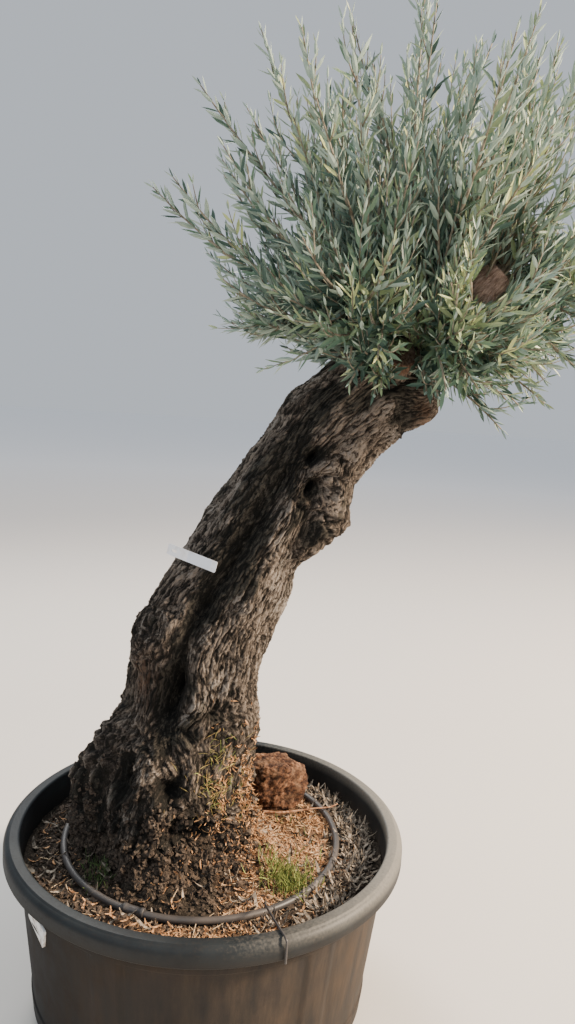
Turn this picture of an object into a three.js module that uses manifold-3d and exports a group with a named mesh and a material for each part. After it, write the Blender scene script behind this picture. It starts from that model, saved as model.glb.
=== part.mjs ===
// Olive bonsai: an old leaning trunk, cut back hard, with a fountain of young shoots, in a nursery tub.
// Millimetres, +Z up. The origin is on the tub's axis, on its flat underside. +Y points to the back.
import * as THREE from 'three';
import { mergeVertices } from 'three/addons/utils/BufferGeometryUtils.js';
import Module from 'manifold-3d';

const wasm = await Module();
wasm.setup();

// Clearance between pieces that rest on each other
const SEAT = 0.3;

// Tub: a tapered wall with six sunk panels, and a rolled rim with a hanging skirt
const TUB_HEIGHT = 470;
const RIM_INNER_RADIUS = 465;
const RIM_CREST_RADIUS = 488;
const SKIRT_RADIUS = 505;
const SKIRT_DROP = 46;
const RIM_SHOULDER_DROP = 22;
const RIM_THICKNESS = 6;
const WALL_TOP_RADIUS = 472;
const WALL_FOOT_RADIUS = 429;
const WALL_THICKNESS = 6;
const CORNER_RADIUS = 40;
const FLOOR_THICKNESS = 12;
const PANEL_COUNT = 6;
const PANEL_BOTTOM = 75;
const PANEL_TOP = 385;
const PANEL_DEPTH = 4;
const PANEL_EDGE = 5;
const RIB_HALF_ANGLE = 4;
const FIRST_RIB_ANGLE = -51;
const COLUMNS_PER_PANEL = 8;

// Soil: flat under the trunk, a little lower along the wall
const SOIL_LEVEL = TUB_HEIGHT - 65;
const SOIL_FLAT_RADIUS = 380;
const SOIL_EDGE_DROP = 8;
const SOIL_CLEARANCE = 1;

// Hose ring that lies on the soil, its joining sleeve, and the thin feed tube that hooks over the rim
const RING_CENTRE = { x: -14, y: 25 };
const RING_RADIUS = 353;
const RING_STRETCH = 1.03;
const HOSE_RADIUS = 8.5;
const RING_SIDES = 6;
const RING_STEPS = 44;
const SLEEVE_RADIUS = 11;
const SLEEVE_LENGTH = 52;
const SLEEVE_SIDES = 8;
const SLEEVE_ANGLE = 251;
const FEED_ANGLE = 300;
const FEED_RIM_ANGLE = 294.5;
const FEED_RADIUS = 2.5;
const FEED_RISE = 13;
const FEED_REACH = 20;
const FEED_STEPS = 20;
const FEED_SIDES = 5;
const FEED_DROP = 50;

// Trunk: stations along its spine, from the foot to the sawn head, with the mean radius at each
const TRUNK_STATIONS = [
  { x: -100, z: SOIL_LEVEL + SEAT, radius: 232 },
  { x: -100, z: 560, radius: 226 },
  { x: -66, z: 715, radius: 174 },
  { x: -52, z: 860, radius: 162 },
  { x: -18, z: 1010, radius: 151 },
  { x: 40, z: 1130, radius: 143 },
  { x: 115, z: 1270, radius: 133 },
  { x: 195, z: 1405, radius: 126 },
  { x: 275, z: 1520, radius: 122 },
  { x: 365, z: 1592, radius: 116 },
  { x: 462, z: 1612, radius: 98 },
];
const TRUNK_DEPTH = 0.94;
const TRUNK_RINGS = 38;
const TRUNK_SIDES = 36;
const BUTTRESS_COUNT = 5;
const BUTTRESS_HEIGHT = 20;
const BUTTRESS_TURN = 0.6;
const BUTTRESS_FADE = 0.22;
const STRAND_COUNT = 7;
const STRAND_HEIGHT = 5;
const STRAND_TWIST = 2.6;

// Burls and hollows of the trunk: place along the spine (0 foot, 1 head), direction round it in
// degrees (0 front, 90 right, 180 back), size along, size round in degrees, height (hollows negative)
const TRUNK_BURLS = [
  { along: 0, round: 24, length: 0.050, width: 32, height: 70 },
  { along: 0, round: -12, length: 0.040, width: 22, height: 16 },
  { along: 0.09, round: -92, length: 0.050, width: 34, height: 12 },
  { along: 0.135, round: -60, length: 0.034, width: 20, height: 16 },
  { along: 0.138, round: -34, length: 0.024, width: 12, height: -34 },
  { along: 0.163, round: -15, length: 0.032, width: 16, height: 26 },
  { along: 0.147, round: 1, length: 0.018, width: 9, height: -36 },
  { along: 0.130, round: 14, length: 0.036, width: 24, height: 26 },
  { along: 0.085, round: 22, length: 0.022, width: 22, height: -20 },
  { along: 0.060, round: -14, length: 0.026, width: 20, height: 16 },
  { along: 0.19, round: -60, length: 0.040, width: 30, height: 12 },
  { along: 0.225, round: 44, length: 0.022, width: 16, height: 16 },
  { along: 0.24, round: 80, length: 0.060, width: 36, height: 14 },
  { along: 0.288, round: -17, length: 0.042, width: 13, height: -50 },
  { along: 0.285, round: -52, length: 0.030, width: 16, height: -14 },
  { along: 0.355, round: -60, length: 0.042, width: 38, height: 34 },
  { along: 0.40, round: 70, length: 0.050, width: 34, height: 8 },
  { along: 0.45, round: -9, length: 0.040, width: 12, height: -14 },
  { along: 0.56, round: 82, length: 0.035, width: 40, height: -12 },
  { along: 0.65, round: 78, length: 0.050, width: 42, height: 52 },
  { along: 0.677, round: 21, length: 0.020, width: 9, height: -32 },
  { along: 0.69, round: 42, length: 0.026, width: 18, height: 14 },
  { along: 0.72, round: -2, length: 0.016, width: 9, height: -28 },
  { along: 0.735, round: 26, length: 0.022, width: 14, height: 12 },
  { along: 0.77, round: -84, length: 0.025, width: 26, height: 14 },
  { along: 0.90, round: 84, length: 0.060, width: 40, height: 6 },
  { along: 0.11, round: 118, length: 0.034, width: 18, height: -24 },
  { along: 0.16, round: 165, length: 0.060, width: 34, height: 26 },
  { along: 0.22, round: 120, length: 0.040, width: 26, height: 16 },
  { along: 0.28, round: 178, length: 0.070, width: 20, height: -30 },
  { along: 0.36, round: -136, length: 0.040, width: 24, height: 14 },
  { along: 0.45, round: 140, length: 0.060, width: 40, height: 24 },
  { along: 0.54, round: 176, length: 0.040, width: 16, height: -20 },
  { along: 0.63, round: -150, length: 0.050, width: 26, height: 16 },
  { along: 0.70, round: 150, length: 0.030, width: 18, height: -22 },
  { along: 0.82, round: 170, length: 0.050, width: 30, height: 14 },
];

// The long furrow down the front that parts the trunk into two strands
const FURROW_DEPTH = 27;
const FURROW_WIDTH = 13;
const FURROW_START = 0.28;
const FURROW_END = 0.66;
const FURROW_FADE = 0.05;
const FURROW_LOW_ROUND = -12;
const FURROW_HIGH_ROUND = -16;

// Burl at the back right of the foot
const BASAL_BURL_PLACE = { x: 162, y: 196 };
const BASAL_BURL_SIZE = { x: 84, y: 72, z: 146 };
const BASAL_BURL_LOBE = 0.1;
const BASAL_BURL_WAIST = 0.2;
const BASAL_BURL_FLATNESS = 1.6;

// Cut limb ends on the head of the trunk
const HUB = new THREE.Vector3(395, 0, 1640);
const BOUGH_SIDES = 10;
const BOUGH_RINGS = 5;
const BOUGH_BEND = 0.45;
const BOUGHS = [
  { name: 'right', root: 0.97, reach: 325, rootRadius: 60, tipRadius: 42 },
  { name: 'left', root: 0.84, reach: 165, rootRadius: 44, tipRadius: 30 },
  { name: 'top', root: 0.92, reach: 175, rootRadius: 46, tipRadius: 26 },
  { name: 'front_left', root: 0.88, reach: 160, rootRadius: 40, tipRadius: 28 },
  { name: 'front_right', root: 0.95, reach: 160, rootRadius: 40, tipRadius: 28 },
  { name: 'back_right', root: 0.95, reach: 165, rootRadius: 42, tipRadius: 29 },
  { name: 'back_left', root: 0.88, reach: 165, rootRadius: 40, tipRadius: 28 },
];

// Old pruned stub on the front of the head, with no shoots of its own
const CUT_STUB = { root: 0.93, round: -2, length: 168, rootRadius: 36, tipRadius: 29, lift: 0.42 };

// Foliage masses: the bough that carries each, its heading and rise from the hub in degrees, how far
// its tips reach, how wide they spread and how many shoots it has
const LOW = { spread: 28, shoots: 7 };
const HIGH = { spread: 18, shoots: 5 };
const MASSES = [
  { name: 'left', bough: 'left', heading: 180, rise: 33, reach: 770, ...LOW },
  { name: 'left_high', bough: 'left', heading: 178, rise: 64, reach: 890, ...HIGH },
  { name: 'front_left', bough: 'front_left', heading: 237, rise: 27, reach: 590, ...LOW },
  { name: 'front_left_high', bough: 'front_left', heading: 241, rise: 61, reach: 800, ...HIGH },
  { name: 'front_right', bough: 'front_right', heading: 301, rise: 24, reach: 590, ...LOW },
  { name: 'front_right_high', bough: 'front_right', heading: 299, rise: 61, reach: 820, ...HIGH },
  { name: 'right', bough: 'right', heading: 2, rise: 29, reach: 790, ...LOW },
  { name: 'right_high', bough: 'right', heading: 359, rise: 62, reach: 920, ...HIGH },
  { name: 'back_right', bough: 'back_right', heading: 61, rise: 28, reach: 740, ...LOW },
  { name: 'back_right_high', bough: 'back_right', heading: 58, rise: 62, reach: 880, ...HIGH },
  { name: 'back_left', bough: 'back_left', heading: 121, rise: 29, reach: 740, ...LOW },
  { name: 'back_left_high', bough: 'back_left', heading: 119, rise: 62, reach: 880, ...HIGH },
  { name: 'top', bough: 'top', heading: 0, rise: 90, reach: 980, ...HIGH },
];
const FIRST_SEED = 4001;
const SEED_STEP = 977;
const STEM_OFFSET = 13;
const STEM_RADIUS = 8;
const STEM_TIP_RADIUS = 5.5;
const STEM_SHARE = 0.2;
const STEM_LEAD = 40;
const STEM_SIDES = 5;
const SHOOT_RADIUS = 4.6;
const SHOOT_TIP_RADIUS = 2.8;
const SHOOT_SIDES = 3;
const SHOOT_STEPS = 2;
const SHOOT_SAG = 0.13;
const SHOOT_ROOTS_SPAN = 0.85;
const SHOOT_ROOM = 24;
const TIP_ROOM = 30;
const TIP_SCATTER = 0.28;
const PULL_IN = 0.9;

// Low shoots are shorter, so that the foliage draws in towards the head
const LOWEST_RISE = -5;
const FULL_RISE = 33;
const LOWEST_SHARE = 0.6;
const GOLDEN_ANGLE = 2.39996;

// Leaves: each stands for a spray, so it is larger than life
const LEAF_LENGTH = 155;
const LEAF_WIDTH = 38;
const LEAF_THICKNESS = 4;
const LEAF_WIDEST = 0.45;
const LEAF_SPACING = 74;
const LEAF_ANGLE = 34;
const LEAF_ANGLE_SCATTER = 0.2;
const FIRST_LEAF = 0.12;
const LAST_LEAF = 0.94;
const TIP_LEAF = 0.985;
const TIP_LEAF_ANGLE = 1;
const LEAF_TAPER = 0.3;
const LEAF_TRIES = 9;
const LEAF_ROOM = 13;
const LEAF_CLEAR_FROM = 0.3;

// Clear space kept from the next mass and from the limbs
const CELL_GAP = 2;
const LIMB_GAP = 9;
const BURL_ALLOWANCE = 14;
const TRUNK_CHECKS = 12;
const BOUGH_CHECKS = 3;
const LIMB_LEAD = -0.1;

// Label on the bark, blank, with the slot that it is threaded by
const TAG_LENGTH = 132;
const TAG_WIDTH = 27;
const TAG_THICKNESS = 1.5;
const TAG_SLOT = { inset: 18, length: 14, width: 7 };
const TAG_PLACE = new THREE.Vector3(-66, -120, 1176);
const TAG_TURN = -20;
const TAG_TILT = 13;
const TAG_SEARCH_DEPTH = 400;

// Random numbers that are the same on every run
const RANDOM_FACTOR = 48271;
const RANDOM_MODULUS = 2147483647;

function seededRandom(seed) {
  let state = seed;
  return () => {
    state = (state * RANDOM_FACTOR) % RANDOM_MODULUS;
    return state / RANDOM_MODULUS;
  };
}

// Solids: closed meshes in, closed meshes out

function closedGeometry(geometry) {
  const bare = new THREE.BufferGeometry();
  bare.setAttribute('position', geometry.getAttribute('position').clone());
  bare.setIndex(geometry.getIndex());
  const merged = mergeVertices(bare, 1e-3);
  const corners = merged.getIndex().array;
  const kept = [];
  for (let i = 0; i < corners.length; i += 3) {
    const [a, b, c] = corners.slice(i, i + 3);
    if (a !== b && b !== c && c !== a) kept.push(a, b, c);
  }
  merged.setIndex(kept);
  merged.computeVertexNormals();
  return merged;
}

function toSolid(geometry) {
  const closed = closedGeometry(geometry);
  const solid = new wasm.Manifold(new wasm.Mesh({
    numProp: 3,
    vertProperties: Float32Array.from(closed.getAttribute('position').array),
    triVerts: Uint32Array.from(closed.getIndex().array),
  }));
  if (solid.volume() <= 0) throw new Error('A solid is inside out');
  return solid;
}

function toGeometry(solid) {
  const mesh = solid.getMesh();
  const geometry = new THREE.BufferGeometry();
  geometry.setAttribute('position', new THREE.BufferAttribute(mesh.vertProperties, 3));
  geometry.setIndex(new THREE.BufferAttribute(mesh.triVerts, 1));
  geometry.computeVertexNormals();
  return geometry;
}

function largestPiece(solid) {
  const pieces = solid.decompose();
  return pieces.reduce((best, piece) => (piece.volume() > best.volume() ? piece : best));
}

function joined(solids) {
  return largestPiece(solids.reduce((whole, solid) => whole.add(solid)));
}

// A limb: a closed cylinder bent along a path. frameAt gives the point and the front, side and
// forward directions there, and radiusAt the radius at a place along and round it.
function sweep(rings, sides, frameAt, radiusAt) {
  const geometry = new THREE.CylinderGeometry(1, 1, 1, sides, rings);
  const position = geometry.getAttribute('position');
  const place = new THREE.Vector3();
  for (let i = 0; i < position.count; i += 1) {
    const along = position.getY(i) + 0.5;
    const round = Math.atan2(position.getX(i), position.getZ(i));
    const spread = Math.hypot(position.getX(i), position.getZ(i)) * radiusAt(along, round);
    const frame = frameAt(along);
    place.copy(frame.point);
    place.addScaledVector(frame.front, Math.cos(round) * spread);
    place.addScaledVector(frame.side, Math.sin(round) * spread);
    position.setXYZ(i, place.x, place.y, place.z);
  }
  return geometry;
}

function curveFrame(curve) {
  const mean = curve.getPoint(1).sub(curve.getPoint(0)).normalize();
  const reference = new THREE.Vector3(0, -1, 0);
  if (Math.abs(mean.y) > 0.8) reference.set(1, 0, 0);
  return (along) => {
    const forward = curve.getTangent(along);
    const side = forward.clone().cross(reference).normalize();
    const front = side.clone().cross(forward);
    return { point: curve.getPoint(along), front, side };
  };
}

function taperedTube(curve, rings, sides, rootRadius, tipRadius) {
  const radiusAt = (along) => THREE.MathUtils.lerp(rootRadius, tipRadius, along);
  return sweep(rings, sides, curveFrame(curve), radiusAt);
}

function polar(radius, degrees, z) {
  const angle = THREE.MathUtils.degToRad(degrees);
  return new THREE.Vector3(radius * Math.cos(angle), radius * Math.sin(angle), z);
}

// Tub and soil share their columns, so that their walls run parallel
const TUB_COLUMNS = PANEL_COUNT * COLUMNS_PER_PANEL;

function columnAngle(column) {
  const panel = Math.floor(column / COLUMNS_PER_PANEL);
  const step = column % COLUMNS_PER_PANEL;
  const pitch = 360 / PANEL_COUNT;
  const edge = RIB_HALF_ANGLE + 1;
  const ribAngles = [-edge, -RIB_HALF_ANGLE, RIB_HALF_ANGLE];
  const panelStep = (pitch - 2 * edge) / (COLUMNS_PER_PANEL - ribAngles.length);
  const angle = step < ribAngles.length ? ribAngles[step] : edge + (step - ribAngles.length) * panelStep;
  return FIRST_RIB_ANGLE + panel * pitch + angle;
}

function inPanel(column) {
  const step = column % COLUMNS_PER_PANEL;
  return step === 0 || step > 2;
}

function turned(profile, isSunk) {
  const geometry = new THREE.LatheGeometry(profile, TUB_COLUMNS);
  const position = geometry.getAttribute('position');
  for (let column = 0; column <= TUB_COLUMNS; column += 1) {
    const angle = THREE.MathUtils.degToRad(columnAngle(column % TUB_COLUMNS));
    profile.forEach((point, row) => {
      const radius = point.x - (isSunk(column % TUB_COLUMNS, point) ? PANEL_DEPTH : 0);
      const vertex = column * profile.length + row;
      position.setXYZ(vertex, radius * Math.cos(angle), radius * Math.sin(angle), point.y);
    });
  }
  return geometry;
}

function wallRadius(z) {
  const slope = (WALL_TOP_RADIUS - WALL_FOOT_RADIUS) / (TUB_HEIGHT - SKIRT_DROP - CORNER_RADIUS);
  return WALL_FOOT_RADIUS + (z - CORNER_RADIUS) * slope;
}

function cornerPoint(degrees) {
  const angle = THREE.MathUtils.degToRad(degrees);
  const centre = wallRadius(CORNER_RADIUS) - CORNER_RADIUS;
  const x = centre + CORNER_RADIUS * Math.cos(angle);
  return new THREE.Vector2(x, CORNER_RADIUS - CORNER_RADIUS * Math.sin(angle));
}

function makeTub() {
  const point = (x, y) => new THREE.Vector2(x, y);
  const wallPoint = (z) => point(wallRadius(z), z);
  const skirtBottom = TUB_HEIGHT - SKIRT_DROP;
  const floorRadius = wallRadius(CORNER_RADIUS) - WALL_THICKNESS;
  const profile = [
    point(0, 0),
    cornerPoint(90),
    cornerPoint(50),
    cornerPoint(20),
    wallPoint(PANEL_BOTTOM - PANEL_EDGE),
    wallPoint(PANEL_BOTTOM),
    wallPoint(PANEL_TOP),
    wallPoint(PANEL_TOP + PANEL_EDGE),
    wallPoint(TUB_HEIGHT - 2 * RIM_THICKNESS),
    point(RIM_CREST_RADIUS + RIM_THICKNESS / 2, TUB_HEIGHT - 2 * RIM_THICKNESS),
    point(SKIRT_RADIUS - RIM_THICKNESS, skirtBottom),
    point(SKIRT_RADIUS, skirtBottom),
    point(SKIRT_RADIUS - RIM_THICKNESS / 2, TUB_HEIGHT - RIM_SHOULDER_DROP),
    point(SKIRT_RADIUS - RIM_THICKNESS, TUB_HEIGHT - RIM_THICKNESS),
    point(RIM_CREST_RADIUS, TUB_HEIGHT),
    point(RIM_INNER_RADIUS + RIM_THICKNESS, TUB_HEIGHT),
    point(RIM_INNER_RADIUS, TUB_HEIGHT - RIM_THICKNESS),
    point(floorRadius, CORNER_RADIUS),
    point(floorRadius - CORNER_RADIUS + FLOOR_THICKNESS, FLOOR_THICKNESS),
    point(0, FLOOR_THICKNESS),
  ];
  const isPanelRow = (row) => row.y === PANEL_BOTTOM || row.y === PANEL_TOP;
  return turned(profile, (column, row) => isPanelRow(row) && inPanel(column));
}

function innerWallRadius(z) {
  const floorRadius = wallRadius(CORNER_RADIUS) - WALL_THICKNESS;
  const share = (z - CORNER_RADIUS) / (TUB_HEIGHT - RIM_THICKNESS - CORNER_RADIUS);
  return THREE.MathUtils.lerp(floorRadius, RIM_INNER_RADIUS, share);
}

function makeSoil() {
  const edgeLevel = SOIL_LEVEL - SOIL_EDGE_DROP;
  const bottom = FLOOR_THICKNESS + SEAT;
  const footRadius = innerWallRadius(CORNER_RADIUS) - SOIL_CLEARANCE;
  const profile = [
    new THREE.Vector2(0, bottom),
    new THREE.Vector2(footRadius - CORNER_RADIUS + FLOOR_THICKNESS, bottom),
    new THREE.Vector2(footRadius, CORNER_RADIUS),
    new THREE.Vector2(innerWallRadius(edgeLevel) - 2 * SEAT, edgeLevel),
    new THREE.Vector2(SOIL_FLAT_RADIUS, SOIL_LEVEL),
    new THREE.Vector2(0, SOIL_LEVEL),
  ];
  return turned(profile, () => false);
}

// Hose ring and feed tube

function ringPoint(degrees, z) {
  const point = polar(RING_RADIUS, degrees, z);
  return new THREE.Vector3(RING_CENTRE.x + point.x, RING_CENTRE.y + point.y * RING_STRETCH, z);
}

function makeDripRing() {
  const level = SOIL_LEVEL + SEAT + HOSE_RADIUS;
  const ring = new THREE.TorusGeometry(RING_RADIUS, HOSE_RADIUS, RING_SIDES, RING_STEPS);
  ring.scale(1, RING_STRETCH, 1);
  ring.translate(RING_CENTRE.x, RING_CENTRE.y, level);
  const halfTurn = (SLEEVE_LENGTH / RING_RADIUS) * 0.5;
  const halfAngle = THREE.MathUtils.radToDeg(halfTurn);
  const sleeveLevel = level + SLEEVE_RADIUS - HOSE_RADIUS;
  const start = ringPoint(SLEEVE_ANGLE - halfAngle, sleeveLevel);
  const end = ringPoint(SLEEVE_ANGLE + halfAngle, sleeveLevel);
  const middle = ringPoint(SLEEVE_ANGLE, sleeveLevel);
  const path = new THREE.QuadraticBezierCurve3(start, middle, end);
  const sleeve = taperedTube(path, 2, SLEEVE_SIDES, SLEEVE_RADIUS, SLEEVE_RADIUS);
  return toGeometry(joined([toSolid(ring), toSolid(sleeve)]));
}

function makeFeedTube() {
  const ringTop = SOIL_LEVEL + SEAT + 2 * HOSE_RADIUS + 2 * SEAT;
  const start = ringPoint(FEED_ANGLE, ringTop);
  const startRadius = Math.hypot(start.x, start.y);
  const over = TUB_HEIGHT + FEED_RADIUS + SEAT;
  const outside = SKIRT_RADIUS + FEED_RADIUS + 2 * SEAT;
  const path = new THREE.CatmullRomCurve3([
    start,
    start.clone().setZ(ringTop + FEED_RISE),
    polar(startRadius + FEED_REACH, (FEED_ANGLE + FEED_RIM_ANGLE) / 2, ringTop + 2 * FEED_RISE),
    polar(RIM_INNER_RADIUS - FEED_REACH, FEED_RIM_ANGLE, over),
    polar((RIM_INNER_RADIUS + RIM_CREST_RADIUS) / 2, FEED_RIM_ANGLE, over),
    polar(outside - FEED_RADIUS, FEED_RIM_ANGLE, TUB_HEIGHT),
    polar(outside, FEED_RIM_ANGLE, TUB_HEIGHT - RIM_SHOULDER_DROP),
    polar(outside, FEED_RIM_ANGLE, TUB_HEIGHT - FEED_DROP),
  ]);
  return taperedTube(path, FEED_STEPS, FEED_SIDES, FEED_RADIUS, FEED_RADIUS);
}

// Trunk

function smoothAlong(values, along) {
  const last = values.length - 1;
  const place = Math.min(Math.max(along, 0), 1) * last;
  const index = Math.min(Math.floor(place), last - 1);
  const t = place - index;
  const p1 = values[index];
  const p2 = values[index + 1];
  const p0 = index > 0 ? values[index - 1] : 2 * p1 - p2;
  const p3 = index < last - 1 ? values[index + 2] : 2 * p2 - p1;
  const bend = 2 * p0 - 5 * p1 + 4 * p2 - p3;
  const swing = 3 * (p1 - p2) + p3 - p0;
  return p1 + 0.5 * t * (p2 - p0 + t * (bend + t * swing));
}

function trunkValue(key, along) {
  return smoothAlong(TRUNK_STATIONS.map((station) => station[key]), along);
}

function trunkPoint(along) {
  return new THREE.Vector3(trunkValue('x', along), 0, trunkValue('z', along));
}

function trunkFrame(along) {
  const step = 0.01;
  const before = trunkPoint(Math.max(along - step, 0));
  const forward = trunkPoint(Math.min(along + step, 1)).sub(before).normalize();
  if (along < step) forward.set(0, 0, 1);
  const front = new THREE.Vector3(0, -1, 0);
  const side = forward.clone().cross(front);
  return { point: trunkPoint(along), front, side, forward };
}

function hill(offset, size) {
  return Math.exp(-((offset / size) ** 2));
}

function turnBetween(a, b) {
  const turn = a - b;
  return turn - 2 * Math.PI * Math.round(turn / (2 * Math.PI));
}

function furrow(along, round) {
  const share = (along - FURROW_START) / (FURROW_END - FURROW_START);
  const centre = THREE.MathUtils.lerp(FURROW_LOW_ROUND, FURROW_HIGH_ROUND, share);
  const width = THREE.MathUtils.degToRad(FURROW_WIDTH);
  const across = hill(turnBetween(round, THREE.MathUtils.degToRad(centre)), width);
  const past = Math.max(FURROW_START - along, along - FURROW_END, 0);
  return -FURROW_DEPTH * across * hill(past, FURROW_FADE);
}

function trunkRadius(along, round) {
  const depth = 1 - (1 - TRUNK_DEPTH) * Math.cos(round) ** 2;
  let radius = trunkValue('radius', along) * depth;
  radius += BUTTRESS_HEIGHT * hill(along, BUTTRESS_FADE) * Math.cos(BUTTRESS_COUNT * round + BUTTRESS_TURN);
  radius += STRAND_HEIGHT * Math.cos(STRAND_COUNT * (round + STRAND_TWIST * along));
  radius += furrow(along, round);
  for (const burl of TRUNK_BURLS) {
    const turn = turnBetween(round, THREE.MathUtils.degToRad(burl.round));
    const across = hill(turn, THREE.MathUtils.degToRad(burl.width));
    radius += burl.height * across * hill(along - burl.along, burl.length);
  }
  return radius;
}

function makeTrunk(extra) {
  const radiusAt = (along, round) => trunkRadius(along, round) + extra;
  return sweep(TRUNK_RINGS, TRUNK_SIDES, trunkFrame, radiusAt);
}

// The trunk with a little added all round, for cutting what meets it
const trunkRoom = toSolid(makeTrunk(SEAT));

function makeBasalBurl() {
  const geometry = new THREE.SphereGeometry(1, 14, 10);
  geometry.rotateX(Math.PI / 2);
  const position = geometry.getAttribute('position');
  for (let i = 0; i < position.count; i += 1) {
    const x = position.getX(i);
    const y = position.getY(i);
    const z = position.getZ(i);
    const turn = Math.atan2(y, x);
    const swell = 1 + BASAL_BURL_LOBE * Math.sin(3 * turn + 1) * (1 - z * z);
    const foot = 1 - BASAL_BURL_WAIST * Math.max(-z, 0);
    const height = Math.tanh(BASAL_BURL_FLATNESS * z) / Math.tanh(BASAL_BURL_FLATNESS);
    const level = SOIL_LEVEL + SEAT + (height + 1) * 0.5 * BASAL_BURL_SIZE.z;
    position.setXYZ(
      i,
      BASAL_BURL_PLACE.x + x * swell * foot * BASAL_BURL_SIZE.x,
      BASAL_BURL_PLACE.y + y * swell * foot * BASAL_BURL_SIZE.y,
      level,
    );
  }
  return toGeometry(largestPiece(toSolid(geometry).subtract(trunkRoom)));
}

// Boughs: each runs from inside the head to its cut end. The trunk and the boughs before it are cut away

function headingVector(heading, rise) {
  const level = Math.cos(THREE.MathUtils.degToRad(rise));
  return polar(level, heading, Math.sin(THREE.MathUtils.degToRad(rise)));
}

const masses = MASSES.map((mass, index) => ({
  ...mass,
  direction: headingVector(mass.heading, mass.rise),
  seed: FIRST_SEED + index * SEED_STEP,
}));

const boughs = BOUGHS.map((bough) => {
  const direction = new THREE.Vector3();
  masses.filter((mass) => mass.bough === bough.name).forEach((mass) => direction.add(mass.direction));
  direction.normalize();
  const start = trunkPoint(bough.root);
  const tip = HUB.clone().addScaledVector(direction, bough.reach);
  const length = start.distanceTo(tip);
  const bend = tip.clone().addScaledVector(direction, -BOUGH_BEND * length);
  const path = new THREE.QuadraticBezierCurve3(start, bend, tip);
  return { ...bough, name: `bough_${bough.name}`, direction, tip, path };
});

function boughTube(bough, extra) {
  const { path, rootRadius, tipRadius } = bough;
  return toSolid(taperedTube(path, BOUGH_RINGS, BOUGH_SIDES, rootRadius + extra, tipRadius + extra));
}

function cutStubPath() {
  const frame = trunkFrame(CUT_STUB.root);
  const round = THREE.MathUtils.degToRad(CUT_STUB.round);
  const outward = frame.front.clone().multiplyScalar(Math.cos(round));
  outward.addScaledVector(frame.side, Math.sin(round));
  outward.z += CUT_STUB.lift;
  outward.normalize();
  const tip = frame.point.clone().addScaledVector(outward, CUT_STUB.length);
  return new THREE.LineCurve3(frame.point, tip);
}

const cutStub = { ...CUT_STUB, name: 'cut_stub', path: cutStubPath() };

function makeBoughs() {
  const rooms = [trunkRoom];
  return [...boughs, cutStub].map((bough) => {
    const left = rooms.reduce((solid, room) => solid.subtract(room), boughTube(bough, 0));
    rooms.push(boughTube(bough, SEAT));
    return { name: bough.name, geometry: toGeometry(largestPiece(left)) };
  });
}

// Limbs as chains of straight pieces, for keeping leaves clear of them
function limbPieces(curveAt, radiusAt, steps) {
  const pieces = [];
  for (let i = 0; i < steps; i += 1) {
    const from = i / steps;
    const to = (i + 1) / steps;
    const start = curveAt(from);
    const end = curveAt(to);
    const radius = Math.max(radiusAt(from), radiusAt(to));
    pieces.push({ start, end, radius, line: new THREE.Line3(start, end) });
  }
  return pieces;
}

function boughPieces(bough) {
  const radiusAt = (along) => THREE.MathUtils.lerp(bough.rootRadius, bough.tipRadius, along);
  return limbPieces((along) => bough.path.getPoint(along), radiusAt, BOUGH_CHECKS);
}

const limbs = [
  ...limbPieces(trunkPoint, (along) => trunkValue('radius', along) + BURL_ALLOWANCE, TRUNK_CHECKS),
  ...[...boughs, cutStub].flatMap(boughPieces),
];

function touchesLimb(point, margin) {
  return limbs.some((limb) => {
    const along = limb.line.closestPointToPointParameter(point, false);
    if (along < LIMB_LEAD || along > 1) return false;
    return limb.line.at(along, new THREE.Vector3()).distanceTo(point) < limb.radius + margin;
  });
}

// Foliage masses: each keeps to its own cone of space round its heading from the hub

function inOwnSpace(mass, point, margin) {
  const outward = point.clone().sub(HUB);
  return masses.every((other) => {
    if (other === mass) return true;
    const towards = mass.direction.clone().sub(other.direction).normalize();
    return outward.dot(towards) > CELL_GAP + margin;
  });
}

function isFree(mass, point, margin) {
  return inOwnSpace(mass, point, margin) && !touchesLimb(point, margin + LIMB_GAP);
}

function massStem(mass) {
  const bough = boughs.find((candidate) => candidate.name === `bough_${mass.bough}`);
  const sideways = mass.direction.clone().projectOnPlane(bough.direction);
  const base = bough.tip.clone().addScaledVector(bough.direction, SEAT);
  if (sideways.length() > 0.05) base.addScaledVector(sideways.normalize(), STEM_OFFSET);
  const lead = base.clone().addScaledVector(bough.direction, STEM_LEAD);
  const end = HUB.clone().addScaledVector(mass.direction, bough.reach + STEM_SHARE * mass.reach);
  return new THREE.QuadraticBezierCurve3(base, lead, end);
}

function crossVectors(forward) {
  const reference = Math.abs(forward.z) > 0.8 ? new THREE.Vector3(1, 0, 0) : new THREE.Vector3(0, 0, 1);
  const side = forward.clone().cross(reference).normalize();
  return { side, top: side.clone().cross(forward) };
}

// A shoot sags a little at first and then turns up
function shootCurve(mass, start, tip) {
  const middle = start.clone().lerp(tip, 0.5);
  const length = start.distanceTo(tip);
  const level = 1 - Math.abs(tip.z - start.z) / length;
  const lowered = middle.clone();
  lowered.z -= SHOOT_SAG * level * length;
  const isClear = isFree(mass, lowered, SHOOT_ROOM);
  return new THREE.QuadraticBezierCurve3(start, isClear ? lowered : middle, tip);
}

function reachShare(heading) {
  const rise = THREE.MathUtils.radToDeg(Math.asin(heading.z));
  const share = THREE.MathUtils.clamp((rise - LOWEST_RISE) / (FULL_RISE - LOWEST_RISE), 0, 1);
  return THREE.MathUtils.lerp(LOWEST_SHARE, 1, share);
}

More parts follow.
